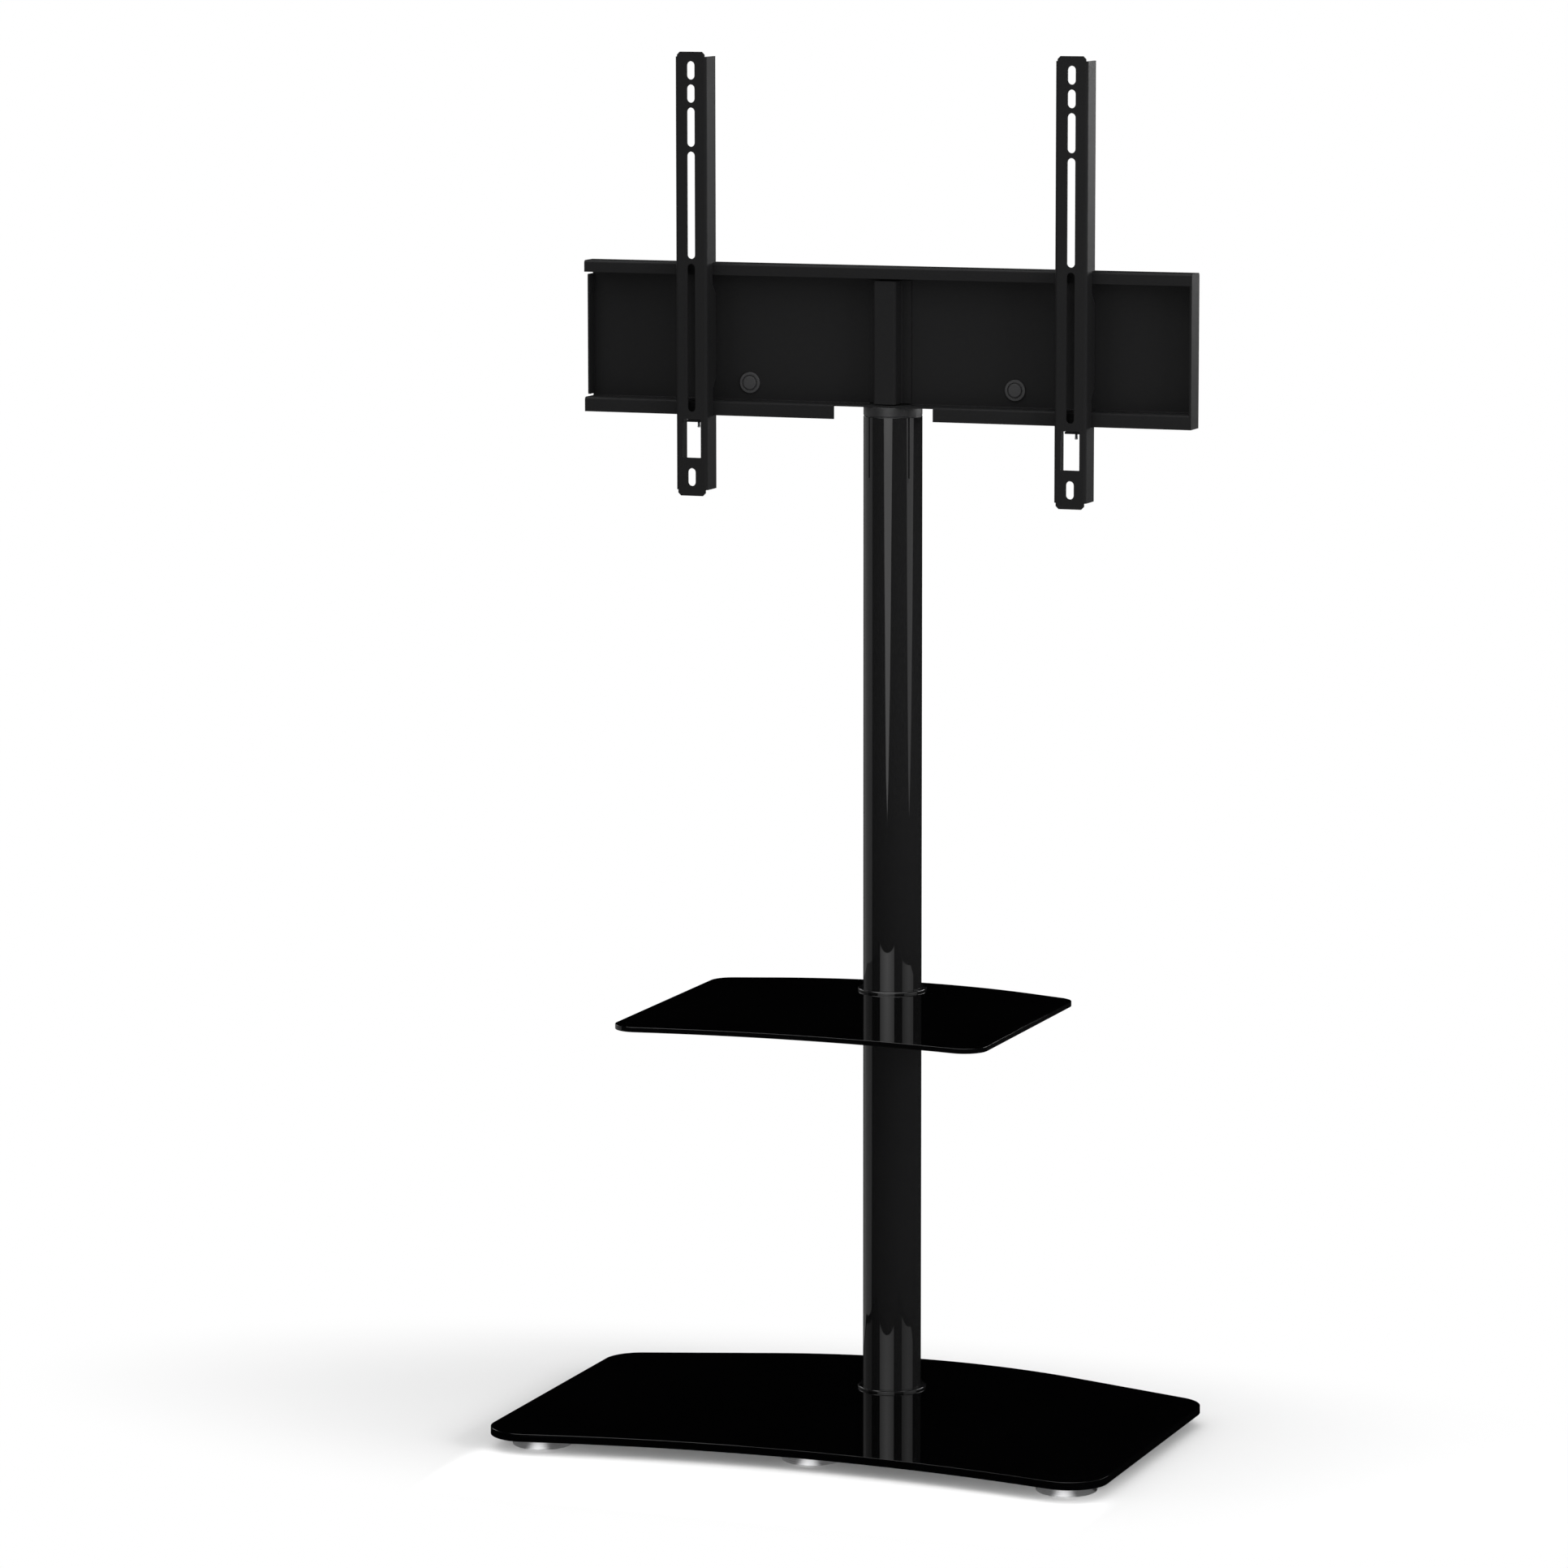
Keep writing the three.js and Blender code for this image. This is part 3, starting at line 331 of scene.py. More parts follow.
def box_outline(left, right, low, high):
    """A plain rectangle, counted from its lower left corner."""
    return [(left, low), (right, low), (right, high), (left, high)]


cutter_reach = 0.01  # how far a cutting tool stands out of the piece


def apply_boolean(piece, tool, operation):
    """Cuts a piece with a tool, or joins the two, and clears the tool away."""
    pick_piece(piece)
    modifier = piece.modifiers.new("cut", "BOOLEAN")
    modifier.operation = operation
    modifier.solver = "EXACT"
    modifier.object = tool
    bpy.ops.object.modifier_apply(modifier=modifier.name)
    bpy.data.objects.remove(tool)


def round_edges(piece, width, segments=2, angle=40, smooth=35):
    """Breaks a piece's sharp edges with a fine bevel, and mends slivers that the bevel leaves."""
    pick_piece(piece)
    modifier = piece.modifiers.new("edge", "BEVEL")
    modifier.width = width
    modifier.segments = segments
    modifier.limit_method = "ANGLE"
    modifier.angle_limit = math.radians(angle)
    modifier.miter_outer = "MITER_SHARP"
    bpy.ops.object.modifier_apply(modifier=modifier.name)
    bpy.ops.object.mode_set(mode="EDIT")
    bpy.ops.mesh.select_all(action="SELECT")
    bpy.ops.mesh.dissolve_degenerate(threshold=2e-6)
    bpy.ops.mesh.select_all(action="SELECT")
    bpy.ops.mesh.fill_holes(sides=8)
    bpy.ops.object.mode_set(mode="OBJECT")
    shade_true(piece, smooth)


def arc_points(x, y, radius, start, end, steps):
    """Points along an arc, its two ends included."""
    angles = [start + (end - start) * i / steps for i in range(steps + 1)]
    return [(x + radius * math.cos(a), y + radius * math.sin(a)) for a in angles]


wing_slope = 0.346


def glass_plan(width, back_reach, back_radius, front_reach, front_radius, corner):
    """The plan of a sheet of glass: a hollow curve in front, a bow behind that runs out into two
    straight wings, and the same radius at every corner."""
    corner_x = width / 2 - corner
    front_centre = -front_reach - front_radius
    front_y = front_centre + math.sqrt((front_radius + corner) ** 2 - corner_x ** 2)
    front = math.atan2(front_y - front_centre, corner_x)
    wing = math.atan(wing_slope)
    bow_centre = back_reach - back_radius
    bow_x = back_radius * math.sin(wing)
    bow_y = bow_centre + back_radius * math.cos(wing)
    back_y = bow_y - math.tan(wing) * (corner_x - bow_x) - corner / math.cos(wing)
    quarter = math.pi / 2
    points = arc_points(0, front_centre, front_radius, math.pi - front, front, 48)
    points += arc_points(corner_x, front_y, corner, front - math.pi, 0, 18)[1:]
    points += arc_points(corner_x, back_y, corner, 0, quarter - wing, 14)
    points += arc_points(0, bow_centre, back_radius, quarter - wing, quarter + wing, 48)
    points += arc_points(-corner_x, back_y, corner, quarter + wing, math.pi, 14)
    points += arc_points(-corner_x, front_y, corner, math.pi, 2 * math.pi - front, 18)[:-1]
    return [(x, y + axis_y) for x, y in points]


def polished_sheet(name, plan, bottom, top, bore):
    """A sheet of glass with a hole on the column's axis and polished edges."""
    sheet = extrude_outline(name, plan, "XY", bottom, top)
    hole = [(x, y + axis_y) for x, y in arc_points(0, 0, bore, 0, 2 * math.pi, 64)[:-1]]
    drill = extrude_outline("hole", hole, "XY", bottom - cutter_reach, top + cutter_reach)
    apply_boolean(sheet, drill, "DIFFERENCE")
    round_edges(sheet, 0.0003, segments=3, angle=60)
    return sheet


black_glass, tree, shader, coords = new_finish("black_glass", (0.0004, 0.0004, 0.0005), 0, 0.01)
shader.inputs["IOR"].default_value = 1.5
grain = add_grain(tree, coords, 9, 6)
drive(tree, grain, shader.inputs["Roughness"], 0.004, 0.014)
tint(tree, grain, shader, (0.0003, 0.0003, 0.0004), (0.0006, 0.0006, 0.0007))

base_plan = glass_plan(
    width=0.6526, back_reach=0.129, back_radius=0.514, front_reach=0.295, front_radius=1.235,
    corner=0.040,
)
base_bottom = 0.0143
base_top = 0.0223
base_sheet = polished_sheet("base_sheet", base_plan, base_bottom, base_top, bore=0.022)
fit_piece(base_sheet, "stand", black_glass, "black_glass", "base_glass")


# Trim rings. Three flat rings turned from steel and lacquered gloss black, with a rounded rim. They
# hide the joints between the column and the two sheets of glass.
gloss_lacquer, tree, shader, coords = new_finish("gloss_lacquer", (0.0076, 0.0076, 0.0078), 0, 0.02)
shader.inputs["IOR"].default_value = 1.5
grain = add_grain(tree, coords, 220, 3)
drive(tree, grain, shader.inputs["Roughness"], 0.012, 0.028)
tint(tree, grain, shader, (0.0072, 0.0072, 0.0074), (0.0080, 0.0080, 0.0082))
emboss(tree, grain, shader, 0.004, 0.0002)

ring_radius = 0.0355
ring_bore = 0.0303
ring_height = 0.0024
shelf_bottom = 0.4349
shelf_top = 0.4399
seat = 0.0001  # the gap between two faces that rest on each other
for name, node, face, up in (
    ("base_trim_ring", "base_ring", base_top + seat, 1),
    ("shelf_trim_ring_under", "shelf_lower_ring", shelf_bottom - seat, -1),
    ("shelf_trim_ring", "shelf_ring", shelf_top + seat, 1),
):
    ring = lathe_turn(
        name,
        [
            (ring_bore, face), (ring_radius, face),
            (ring_radius, face + up * ring_height), (ring_bore, face + up * ring_height),
        ],
        (0, axis_y, 0), rounds=[(2, 0.0011, 8), (3, 0.0003, 2)], steps=128,
    )
    fit_piece(ring, "stand", gloss_lacquer, "gloss_lacquer", node)


# Shelf glass. A smaller sheet of 5 mm black glass of the same form, clamped between the column's
# two lengths.
shelf_plan = glass_plan(
    width=0.3914, back_reach=0.049, back_radius=0.435, front_reach=0.2822, front_radius=1.0,
    corner=0.024,
)
shelf_sheet = polished_sheet("shelf_sheet", shelf_plan, shelf_bottom, shelf_top, bore=0.018)
fit_piece(shelf_sheet, "stand", black_glass, "black_glass", "shelf_glass")


# Column. Two lengths of 60 mm round steel tube, lacquered gloss black over a filled and polished
# weld, each with a slotted cable port in its back wall.
column_radius = 0.030
column_wall = 0.002


def slot_outline(x, y, width, length, steps=12):
    """The outline of an upright slot with round ends."""
    rise = (length - width) / 2
    upper = arc_points(x, y + rise, width / 2, 0, math.pi, steps)
    return upper + arc_points(x, y - rise, width / 2, math.pi, 2 * math.pi, steps)


def column_tube(name, bottom, top, port_height):
    """A length of tube with a cable port cut through its back wall."""
    tube = lathe_turn(
        name,
        [
            (column_radius - column_wall, bottom), (column_radius, bottom),
            (column_radius, top), (column_radius - column_wall, top),
        ],
        (0, axis_y, 0), rounds=[(1, 0.0003, 3), (2, 0.0003, 3)], steps=128,
    )
    port = slot_outline(0, port_height, width=0.022, length=0.046)
    behind = axis_y + column_radius + cutter_reach
    cutter = extrude_outline("port", port, "XZ", axis_y, behind)
    apply_boolean(tube, cutter, "DIFFERENCE")
    shade_true(tube, 32)
    return tube


lower_tube = column_tube("lower_column_tube", bottom=0.0235, top=0.4337, port_height=0.090)
fit_piece(lower_tube, "stand", gloss_lacquer, "gloss_lacquer", "lower_column")
upper_tube = column_tube("upper_column_tube", bottom=0.4411, top=1.0311, port_height=0.935)
fit_piece(upper_tube, "stand", gloss_lacquer, "gloss_lacquer", "upper_column")


# Cable grommets. Moulded rubber linings that snap into the two ports and follow the tube's curve,
# with a soft lip on each side of the wall.
def follow_grommet(name, node):
    """A rounded copy of a grommet's CAD solid, which already follows the tube."""
    pick_piece(cad[node])
    bpy.ops.object.duplicate(linked=False)
    grommet = start_piece(name)
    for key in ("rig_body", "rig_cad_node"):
        if key in grommet:
            del grommet[key]
    grommet.parent = None
    bpy.ops.object.mode_set(mode="EDIT")
    bpy.ops.mesh.select_all(action="SELECT")
    bpy.ops.mesh.remove_doubles(threshold=weld_gap)
    bpy.ops.mesh.dissolve_limited(angle_limit=math.radians(1))
    bpy.ops.object.mode_set(mode="OBJECT")
    round_edges(grommet, 0.0004, segments=3, angle=45)
    return grommet


for level in ("lower", "upper"):
    grommet = follow_grommet(level + "_port_grommet", level + "_grommet")
    fit_piece(grommet, "stand", soft_rubber, "rubber", level + "_grommet")


# Inner joints of the stand. Turned plugs, a nipple and the clamp under the base are zinc-plated
# steel, the gaskets are black rubber and the bearing bush is nylon. They keep their CAD solids.
zinc_plate, tree, shader, coords = new_finish("zinc_plate", (0.5, 0.51, 0.53), 1, 0.4)
grain = add_grain(tree, coords, 120, 4)
drive(tree, grain, shader.inputs["Roughness"], 0.32, 0.5)
tint(tree, grain, shader, (0.42, 0.43, 0.46), (0.56, 0.57, 0.58))
emboss(tree, grain, shader, 0.08, 0.0003)

moulded_nylon, tree, shader, coords = new_finish("moulded_nylon", (0.018, 0.018, 0.019), 0, 0.5)
grain = add_grain(tree, coords, 700, 3)
drive(tree, grain, shader.inputs["Roughness"], 0.42, 0.58)
tint(tree, grain, shader, (0.014, 0.014, 0.015), (0.022, 0.022, 0.023))
emboss(tree, grain, shader, 0.15, 0.0002)


def coat_node(node, finish):
    """Gives a CAD node that stays a better finish."""
    for slot in cad[node].material_slots:
        slot.material = finish


for node in (
    "clamp_plate", "base_plug", "lower_top_plug", "upper_bottom_plug", "column_nipple",
    "bearing_plug", "stop_pin", "clamp_bolt_1", "clamp_bolt_2", "clamp_bolt_3", "clamp_bolt_4",
):
    coat_node(node, zinc_plate)
for node in ("base_gasket", "clamp_gasket", "shelf_lower_gasket", "shelf_upper_gasket"):
    coat_node(node, soft_rubber)
coat_node("swivel_bush", moulded_nylon)


# Swivel. A matte collar turned to the column's diameter carries the head and hides the bearing. The
# spindle, washer and lock nut inside the tube keep their CAD solids.
powder_coat, tree, shader, coords = new_finish("powder_coat", (0.0098, 0.0098, 0.0101), 0, 0.45)
shader.inputs["IOR"].default_value = 1.5
shader.inputs["Specular IOR Level"].default_value = 0.05
grain = add_grain(tree, coords, 1300, 2)
drive(tree, grain, shader.inputs["Roughness"], 0.4, 0.5)
tint(tree, grain, shader, (0.0091, 0.0091, 0.0094), (0.0105, 0.0105, 0.0108))
emboss(tree, grain, shader, 0.1, 0.0002)

satin_coat, tree, shader, coords = new_finish("satin_coat", (0.014, 0.014, 0.0145), 0, 0.4)
shader.inputs["IOR"].default_value = 1.5
grain = add_grain(tree, coords, 1300, 2)
drive(tree, grain, shader.inputs["Roughness"], 0.34, 0.44)
tint(tree, grain, shader, (0.0125, 0.0125, 0.013), (0.0155, 0.0155, 0.016))
emboss(tree, grain, shader, 0.08, 0.0002)

collar_bottom = 1.0322
collar_top = 1.0414
collar_bore = 0.0123
collar = lathe_turn(
    "matte_collar",
    [
        (collar_bore, collar_bottom), (column_radius, collar_bottom),
        (column_radius, collar_top), (collar_bore, collar_top),
    ],
    (0, axis_y, 0), rounds=[(1, 0.0004, 3), (2, 0.0004, 3)], steps=128,
)
fit_piece(collar, "head", satin_coat, "powder_coat", "swivel_collar")
for node in ("swivel_spindle", "spindle_washer", "spindle_nut", "backing_bar"):
    coat_node(node, zinc_plate)


# Tray. One 2 mm steel sheet, folded on a press brake and powder coated matte black. Lips stiffen
# its long edges, both ends turn forward as flanges, and a notch in the lower lip clears the column.
def fold_sheet(name, path, plane, start, end, folds, sheet, toward):
    """Folds a strip of sheet. The path is one face's line in the plane, folds are that face's radii
    at the path's inner points, and the sheet lies toward one side of the first run."""
    lay = {
        "XY": lambda u, v, w: Vector((u, v, w)),
        "YZ": lambda u, v, w: Vector((w, u, v)),
    }[plane]
    places = [lay(u, v, start) for u, v in path]
    piece = lay_outline(name, places, fill="NOTHING")
    ends = {tuple(places[0]), tuple(places[-1])}
    select_parts(piece, "edges", lambda e: {tuple(v.co) for v in e.verts} == ends)
    bpy.ops.mesh.delete(type="EDGE")
    bpy.ops.mesh.select_all(action="SELECT")
    run = lay(0, 0, end - start)
    bpy.ops.mesh.extrude_region_move(TRANSFORM_OT_translate={"value": run})
    for place, radius in zip(places[1:-1], folds):
        off_line = same_place * run.length
        on_fold = lambda v, place=place: (v.co - place).cross(run).length < off_line
        select_parts(piece, "edges", lambda e: on_fold(e.verts[0]) and on_fold(e.verts[1]))
        bpy.ops.mesh.bevel(offset=radius, segments=6, profile=0.5, affect="EDGES")
    bpy.ops.mesh.select_all(action="SELECT")
    bpy.ops.mesh.normals_make_consistent(inside=False)
    bpy.ops.object.mode_set(mode="OBJECT")
    middle = (places[0] + places[1]) / 2 + run / 2
    face = min(piece.data.polygons, key=lambda f: (f.center - middle).length)
    if face.normal.dot(Vector(toward)) < 0:
        bpy.ops.object.mode_set(mode="EDIT")
        bpy.ops.mesh.select_all(action="SELECT")
        bpy.ops.mesh.flip_normals()
        bpy.ops.object.mode_set(mode="OBJECT")
    modifier = piece.modifiers.new("sheet", "SOLIDIFY")
    modifier.thickness = sheet
    modifier.offset = 1
    modifier.use_even_offset = True
    bpy.ops.object.modifier_apply(modifier=modifier.name)
    bpy.ops.object.mode_set(mode="EDIT")
    bpy.ops.mesh.select_all(action="SELECT")
    bpy.ops.mesh.normals_make_consistent(inside=False)
    bpy.ops.object.mode_set(mode="OBJECT")
    return piece


sheet = 0.002
tray_half = 0.3253
tray_top = 1.1839
tray_bottom = 1.0415  # underside of the bottom flange
tray_front = axis_y - 0.0305
tray_back = axis_y - 0.005
lip_inner = tray_front + sheet
top_lip_foot = tray_top - 0.012
bottom_lip_foot = tray_bottom + sheet - 0.0149
tray = fold_sheet(
    "folded_tray",
    [
        (tray_front, top_lip_foot), (tray_front, tray_top), (tray_back, tray_top),
        (tray_back, tray_bottom), (lip_inner, tray_bottom), (lip_inner, bottom_lip_foot),
    ],
    "YZ", -tray_half, tray_half - sheet / 2, [0.003, 0.003, 0.003, 0.001], sheet, (0, 1, 0),
)
right_end = extrude_outline(
    "right_end", box_outline(tray_front, tray_back, bottom_lip_foot, tray_top),
    "YZ", tray_half - sheet, tray_half, rounds=[(2, 0.003), (3, 0.003)],
)
left_front = tray_back - 0.0165
left_back = tray_back - sheet / 2
left_foot = tray_bottom + sheet + 0.0022
left_top = tray_top - 0.0147
left_end = extrude_outline(
    "left_end", box_outline(left_front, left_back, left_foot, left_top),
    "YZ", -tray_half, sheet - tray_half, rounds=[(0, 0.001), (3, 0.001)],
)
apply_boolean(tray, right_end, "UNION")
apply_boolean(tray, left_end, "UNION")
notch_half = 0.0532
notch_reach = 0.003
notch = extrude_outline(
    "notch",
    box_outline(-notch_half, notch_half, tray_front - notch_reach, tray_front + notch_reach),
    "XY", bottom_lip_foot - notch_reach, tray_bottom + sheet + notch_reach,
)
apply_boolean(tray, notch, "DIFFERENCE")
round_edges(tray, 0.0003)
fit_piece(tray, "head", powder_coat, "powder_coat", "tray")


# Spine. A hat section folded from the same sheet stands upright in the middle of the tray and takes
# the two head bolts, so that the panel doesn't bend.
spine_back = tray_back - sheet - seat
spine_inner = spine_back - sheet
spine_front = spine_back - 0.0204
spine_half = 0.0123
spine_wing = 0.0225
spine_foot = 1.0446
spine_top = 1.1695
spine = fold_sheet(
    "hat_spine",
    [
        (-spine_wing, spine_inner), (-spine_half, spine_inner), (-spine_half, spine_front),
        (spine_half, spine_front), (spine_half, spine_inner), (spine_wing, spine_inner),
    ],
    "XY", spine_foot, spine_top, [0.001, 0.003, 0.003, 0.001], sheet, (0, 1, 0),
)
round_edges(spine, 0.0003)
fit_piece(spine, "head", powder_coat, "powder_coat", "spine")


# Disc-headed screws. Two low steel discs with a raised head and a groove round it clamp the tray
# against the head plate. Their phosphate finish is greyer than the powder coat round them.
phosphate, tree, shader, coords = new_finish("phosphate", (0.033, 0.033, 0.034), 0, 0.5)
shader.inputs["Specular IOR Level"].default_value = 0.2
grain = add_grain(tree, coords, 900, 3)
drive(tree, grain, shader.inputs["Roughness"], 0.42, 0.56)
tint(tree, grain, shader, (0.030, 0.030, 0.031), (0.037, 0.037, 0.038))
emboss(tree, grain, shader, 0.12, 0.0002)

for side in ("left", "right"):
    low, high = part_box("disc_screw_" + side)
    centre = ((low.x + high.x) / 2, tray_back - sheet - seat, (low.z + high.z) / 2)
    disc = lathe_turn(
        "low_disc_" + side,
        [
            (0, -0.0062), (0.004, -0.0062), (0.004, 0), (0.0108, 0), (0.0108, 0.0018),
            (0.0081, 0.0018), (0.0079, 0.0004), (0.0069, 0.0004), (0.0068, 0.0025), (0, 0.0025),
        ],
        centre, axis="Y", steps=64,
        rounds=[(1, 0.0003, 2), (4, 0.0005, 4), (5, 0.0002, 2), (8, 0.0006, 4)],
    )
    fit_piece(disc, "head", phosphate, "powder_coat", "disc_screw_" + side)


# Head bracket. A laser-cut plate and a square post behind the tray, welded to the swivel collar and
# powder coated, with a nylon cap on the post and two hexagon bolts through it into the backing bar.
head_foot = tray_bottom
plate_front = tray_back + seat
plate_sheet = 0.004
arm_half = 0.170
arm_top = head_foot + 0.046
neck_half = 0.028
neck_top = head_foot + 0.134
inner_corners = (3, 6)
plate = extrude_outline(
    "head_plate_sheet",
    [
        (-arm_half, head_foot), (arm_half, head_foot), (arm_half, arm_top), (neck_half, arm_top),
        (neck_half, neck_top), (-neck_half, neck_top), (-neck_half, arm_top), (-arm_half, arm_top),
    ],
    "XZ", plate_front, plate_front + plate_sheet,
    rounds=[(i, 0.010 if i in inner_corners else 0.006) for i in range(8)],
)
round_edges(plate, 0.0003)
fit_piece(plate, "head", powder_coat, "powder_coat", "head_plate")

post_half = 0.020
post_wall = 0.0025
post_front = plate_front + plate_sheet + seat
post_back = post_front + 0.021
post_top = head_foot + 0.136


def box_bar(name, inset, bottom, top, radius, segments):
    """An upright bar of the post's plan, drawn in from the post's outside by the inset."""
    half, front, back = post_half - inset, post_front + inset, post_back - inset
    return extrude_outline(
        name, box_outline(-half, half, front, back), "XY", bottom, top,
        rounds=[(i, radius) for i in range(4)], segments=segments,
    )


post = box_bar("square_post", 0, head_foot, post_top, radius=0.004, segments=8)
hollow = box_bar(
    "hollow", post_wall, head_foot - cutter_reach, post_top + cutter_reach,
    radius=0.002, segments=6,
)
apply_boolean(post, hollow, "DIFFERENCE")
round_edges(post, 0.0003, angle=60)
fit_piece(post, "head", powder_coat, "powder_coat", "head_post")

lid_top = post_top + 0.0026
cap = box_bar("post_lid", 0, post_top + seat, lid_top, radius=0.004, segments=8)
select_parts(cap, "edges", lambda e: all(v.co.z > lid_top - seat for v in e.verts))
bpy.ops.mesh.bevel(offset=0.0012, segments=4, profile=0.5, affect="EDGES")
bpy.ops.object.mode_set(mode="OBJECT")
stopper = box_bar(
    "stopper", post_wall + 0.0003, post_top - 0.012, post_top + 0.001, radius=0.002, segments=6,
)
apply_boolean(cap, stopper, "UNION")
shade_true(cap, 32)
fit_piece(cap, "head", moulded_nylon, "nylon", "post_cap")

bolt_seat = post_back + seat
hex_radius = 0.0075
hex_height = 0.0053
crown_section = [
    (0, 0.001), (0.0077, 0.001), (0.0077, -0.0043), (0.0064, -hex_height), (0, -hex_height),
]
shank_section = [(0, -0.001), (0.004, -0.001), (0.004, 0.0403), (0.0034, 0.0409), (0, 0.0409)]
for level, height in (("lower", 1.0855), ("upper", 1.1455)):
    hexagon = [(x, z + height) for x, z in arc_points(0, 0, hex_radius, 0, 2 * math.pi, 6)[:-1]]
    bolt = extrude_outline("hex_bolt_" + level, hexagon, "XZ", bolt_seat, bolt_seat + hex_height)
    crown = lathe_turn("crown", crown_section, (0, bolt_seat, height), axis="Y", steps=48)
    apply_boolean(bolt, crown, "INTERSECT")
    shank = lathe_turn("shank", shank_section, (0, bolt_seat, height), axis="Y", steps=48)
    apply_boolean(bolt, shank, "UNION")
    round_edges(bolt, 0.0002, angle=50)
    fit_piece(bolt, "head", zinc_plate, "zinc_steel", "head_bolt_" + level)


# Rails. Powder-coated channels folded from 2 mm sheet, with slots for the screen's screws and a
# window over the lock. Hooks cut in both walls hang them on the tray's lips, where they slide.
rail_middles = {"left": -0.2010, "right": 0.2044}
rail_half = 0.017
rail_front = axis_y - 0.0476
rail_rear = rail_front + 0.026
rail_foot = 0.947
rail_low = 0.9532
rail_high = 1.3932
rail_top = 1.3982
lowest_slot = 0.0183
upper_slots = (0.1508, 0.1087, 0.0396, 0.0184, 0.0186)
slot_gap = 0.0049


def slotted_rail(name, x):
    """A rail with its tongues, slots, window and hooks, upright about the line x."""
    rail = fold_sheet(
        name,
        [
            (x - rail_half, rail_rear), (x - rail_half, rail_front),
            (x + rail_half, rail_front), (x + rail_half, rail_rear),
        ],
        "XY", rail_low, rail_high, [0.003, 0.003], sheet, (1, 0, 0),
    )
    tongue_half = 0.0148
    for near, far in ((rail_low + 0.002, rail_foot), (rail_high - 0.002, rail_top)):
        tongue = extrude_outline(
            "tongue", box_outline(x - tongue_half, x + tongue_half, near, far),
            "XZ", rail_front, rail_front + sheet, rounds=[(2, 0.003), (3, 0.003)], segments=1,
        )
        apply_boolean(rail, tongue, "UNION")
    slots = [(rail_foot + 0.010 + lowest_slot / 2, lowest_slot)]
    bottom = rail_foot + 0.086
    for length in upper_slots:
        slots.append((bottom + length / 2, length))
        bottom += length + slot_gap
    near, far = rail_front - 0.003, rail_front + sheet + 0.003
    for height, length in slots:
        outline = slot_outline(x, height, width=0.0084, length=length)
        apply_boolean(rail, extrude_outline("opening", outline, "XZ", near, far), "DIFFERENCE")
    window_half, sill, lintel = 0.0099, rail_foot + 0.039, rail_foot + 0.0781
    window = extrude_outline(
        "window", box_outline(x - window_half, x + window_half, sill, lintel),
        "XZ", near, far, rounds=[(i, 0.0008) for i in range(4)], segments=4,
    )
    apply_boolean(rail, window, "DIFFERENCE")
    hook_gap = 0.0005
    slope_rise = 0.011
    recess = tray_front - 0.0004
    far = rail_rear + 0.003
    run = (far - recess) / (rail_rear - recess) * slope_rise
    low_step, low_slope = bottom_lip_foot - hook_gap, tray_bottom + sheet + 0.0125
    high_step, high_slope = tray_top + hook_gap, tray_top - 0.0209
    hooks = (
        [(recess, low_step), (far, low_step), (far, low_slope + run), (recess, low_slope)],
        [(recess, high_slope), (far, high_slope - run), (far, high_step), (recess, high_step)],
    )
    for outline in hooks:
        hook = extrude_outline("hook", outline, "YZ", x - 0.02, x + 0.02)
        apply_boolean(rail, hook, "DIFFERENCE")
    round_edges(rail, 0.00025)
    return rail


left_rail = slotted_rail("slotted_rail_left", rail_middles["left"])
rail_shift = (rail_middles["right"] - rail_middles["left"], 0, 0)
right_rail = copy_piece(left_rail, "slotted_rail_right", rail_shift)
fit_piece(left_rail, "rail_left_body", powder_coat, "powder_coat", "rail_left")
fit_piece(right_rail, "rail_right_body", powder_coat, "powder_coat", "rail_right")


# Rail locks. A strip behind the top lip keeps each rail on the tray. Below, a tab on the rail's
# wall carries a small socket screw that is driven up against the tray's bottom flange.
left_middle = rail_middles["left"]
rail_inner = 0.0147  # half the clear width inside a rail
hook_front = lip_inner + 0.0006
hook_top = tray_top - sheet - 0.002
hook_foot = hook_top - 0.0076
hook_plate = extrude_outline(
    "hook_sheet_left",
    box_outline(left_middle - rail_inner, left_middle + rail_inner, hook_foot, hook_top),
    "XZ", hook_front, hook_front + sheet,
)
round_edges(hook_plate, 0.0002)

lock_bottom = 1.0224
screw_y = lip_inner + 0.0018
tab_front = rail_front + sheet + 0.0003
tab_back = tab_front + 0.0228
lock_tab = extrude_outline(
    "lock_sheet_left",
    box_outline(left_middle - 0.0069, left_middle + rail_inner, tab_front, tab_back),
    "XY", lock_bottom, lock_bottom + sheet, rounds=[(0, 0.002), (3, 0.002)],
)
screw_hole = arc_points(left_middle, screw_y, 0.0018, 0, 2 * math.pi, 32)[:-1]
drill = extrude_outline("screw_hole", screw_hole, "XY", near=1.02, far=1.03)
apply_boolean(lock_tab, drill, "DIFFERENCE")
round_edges(lock_tab, 0.0002)

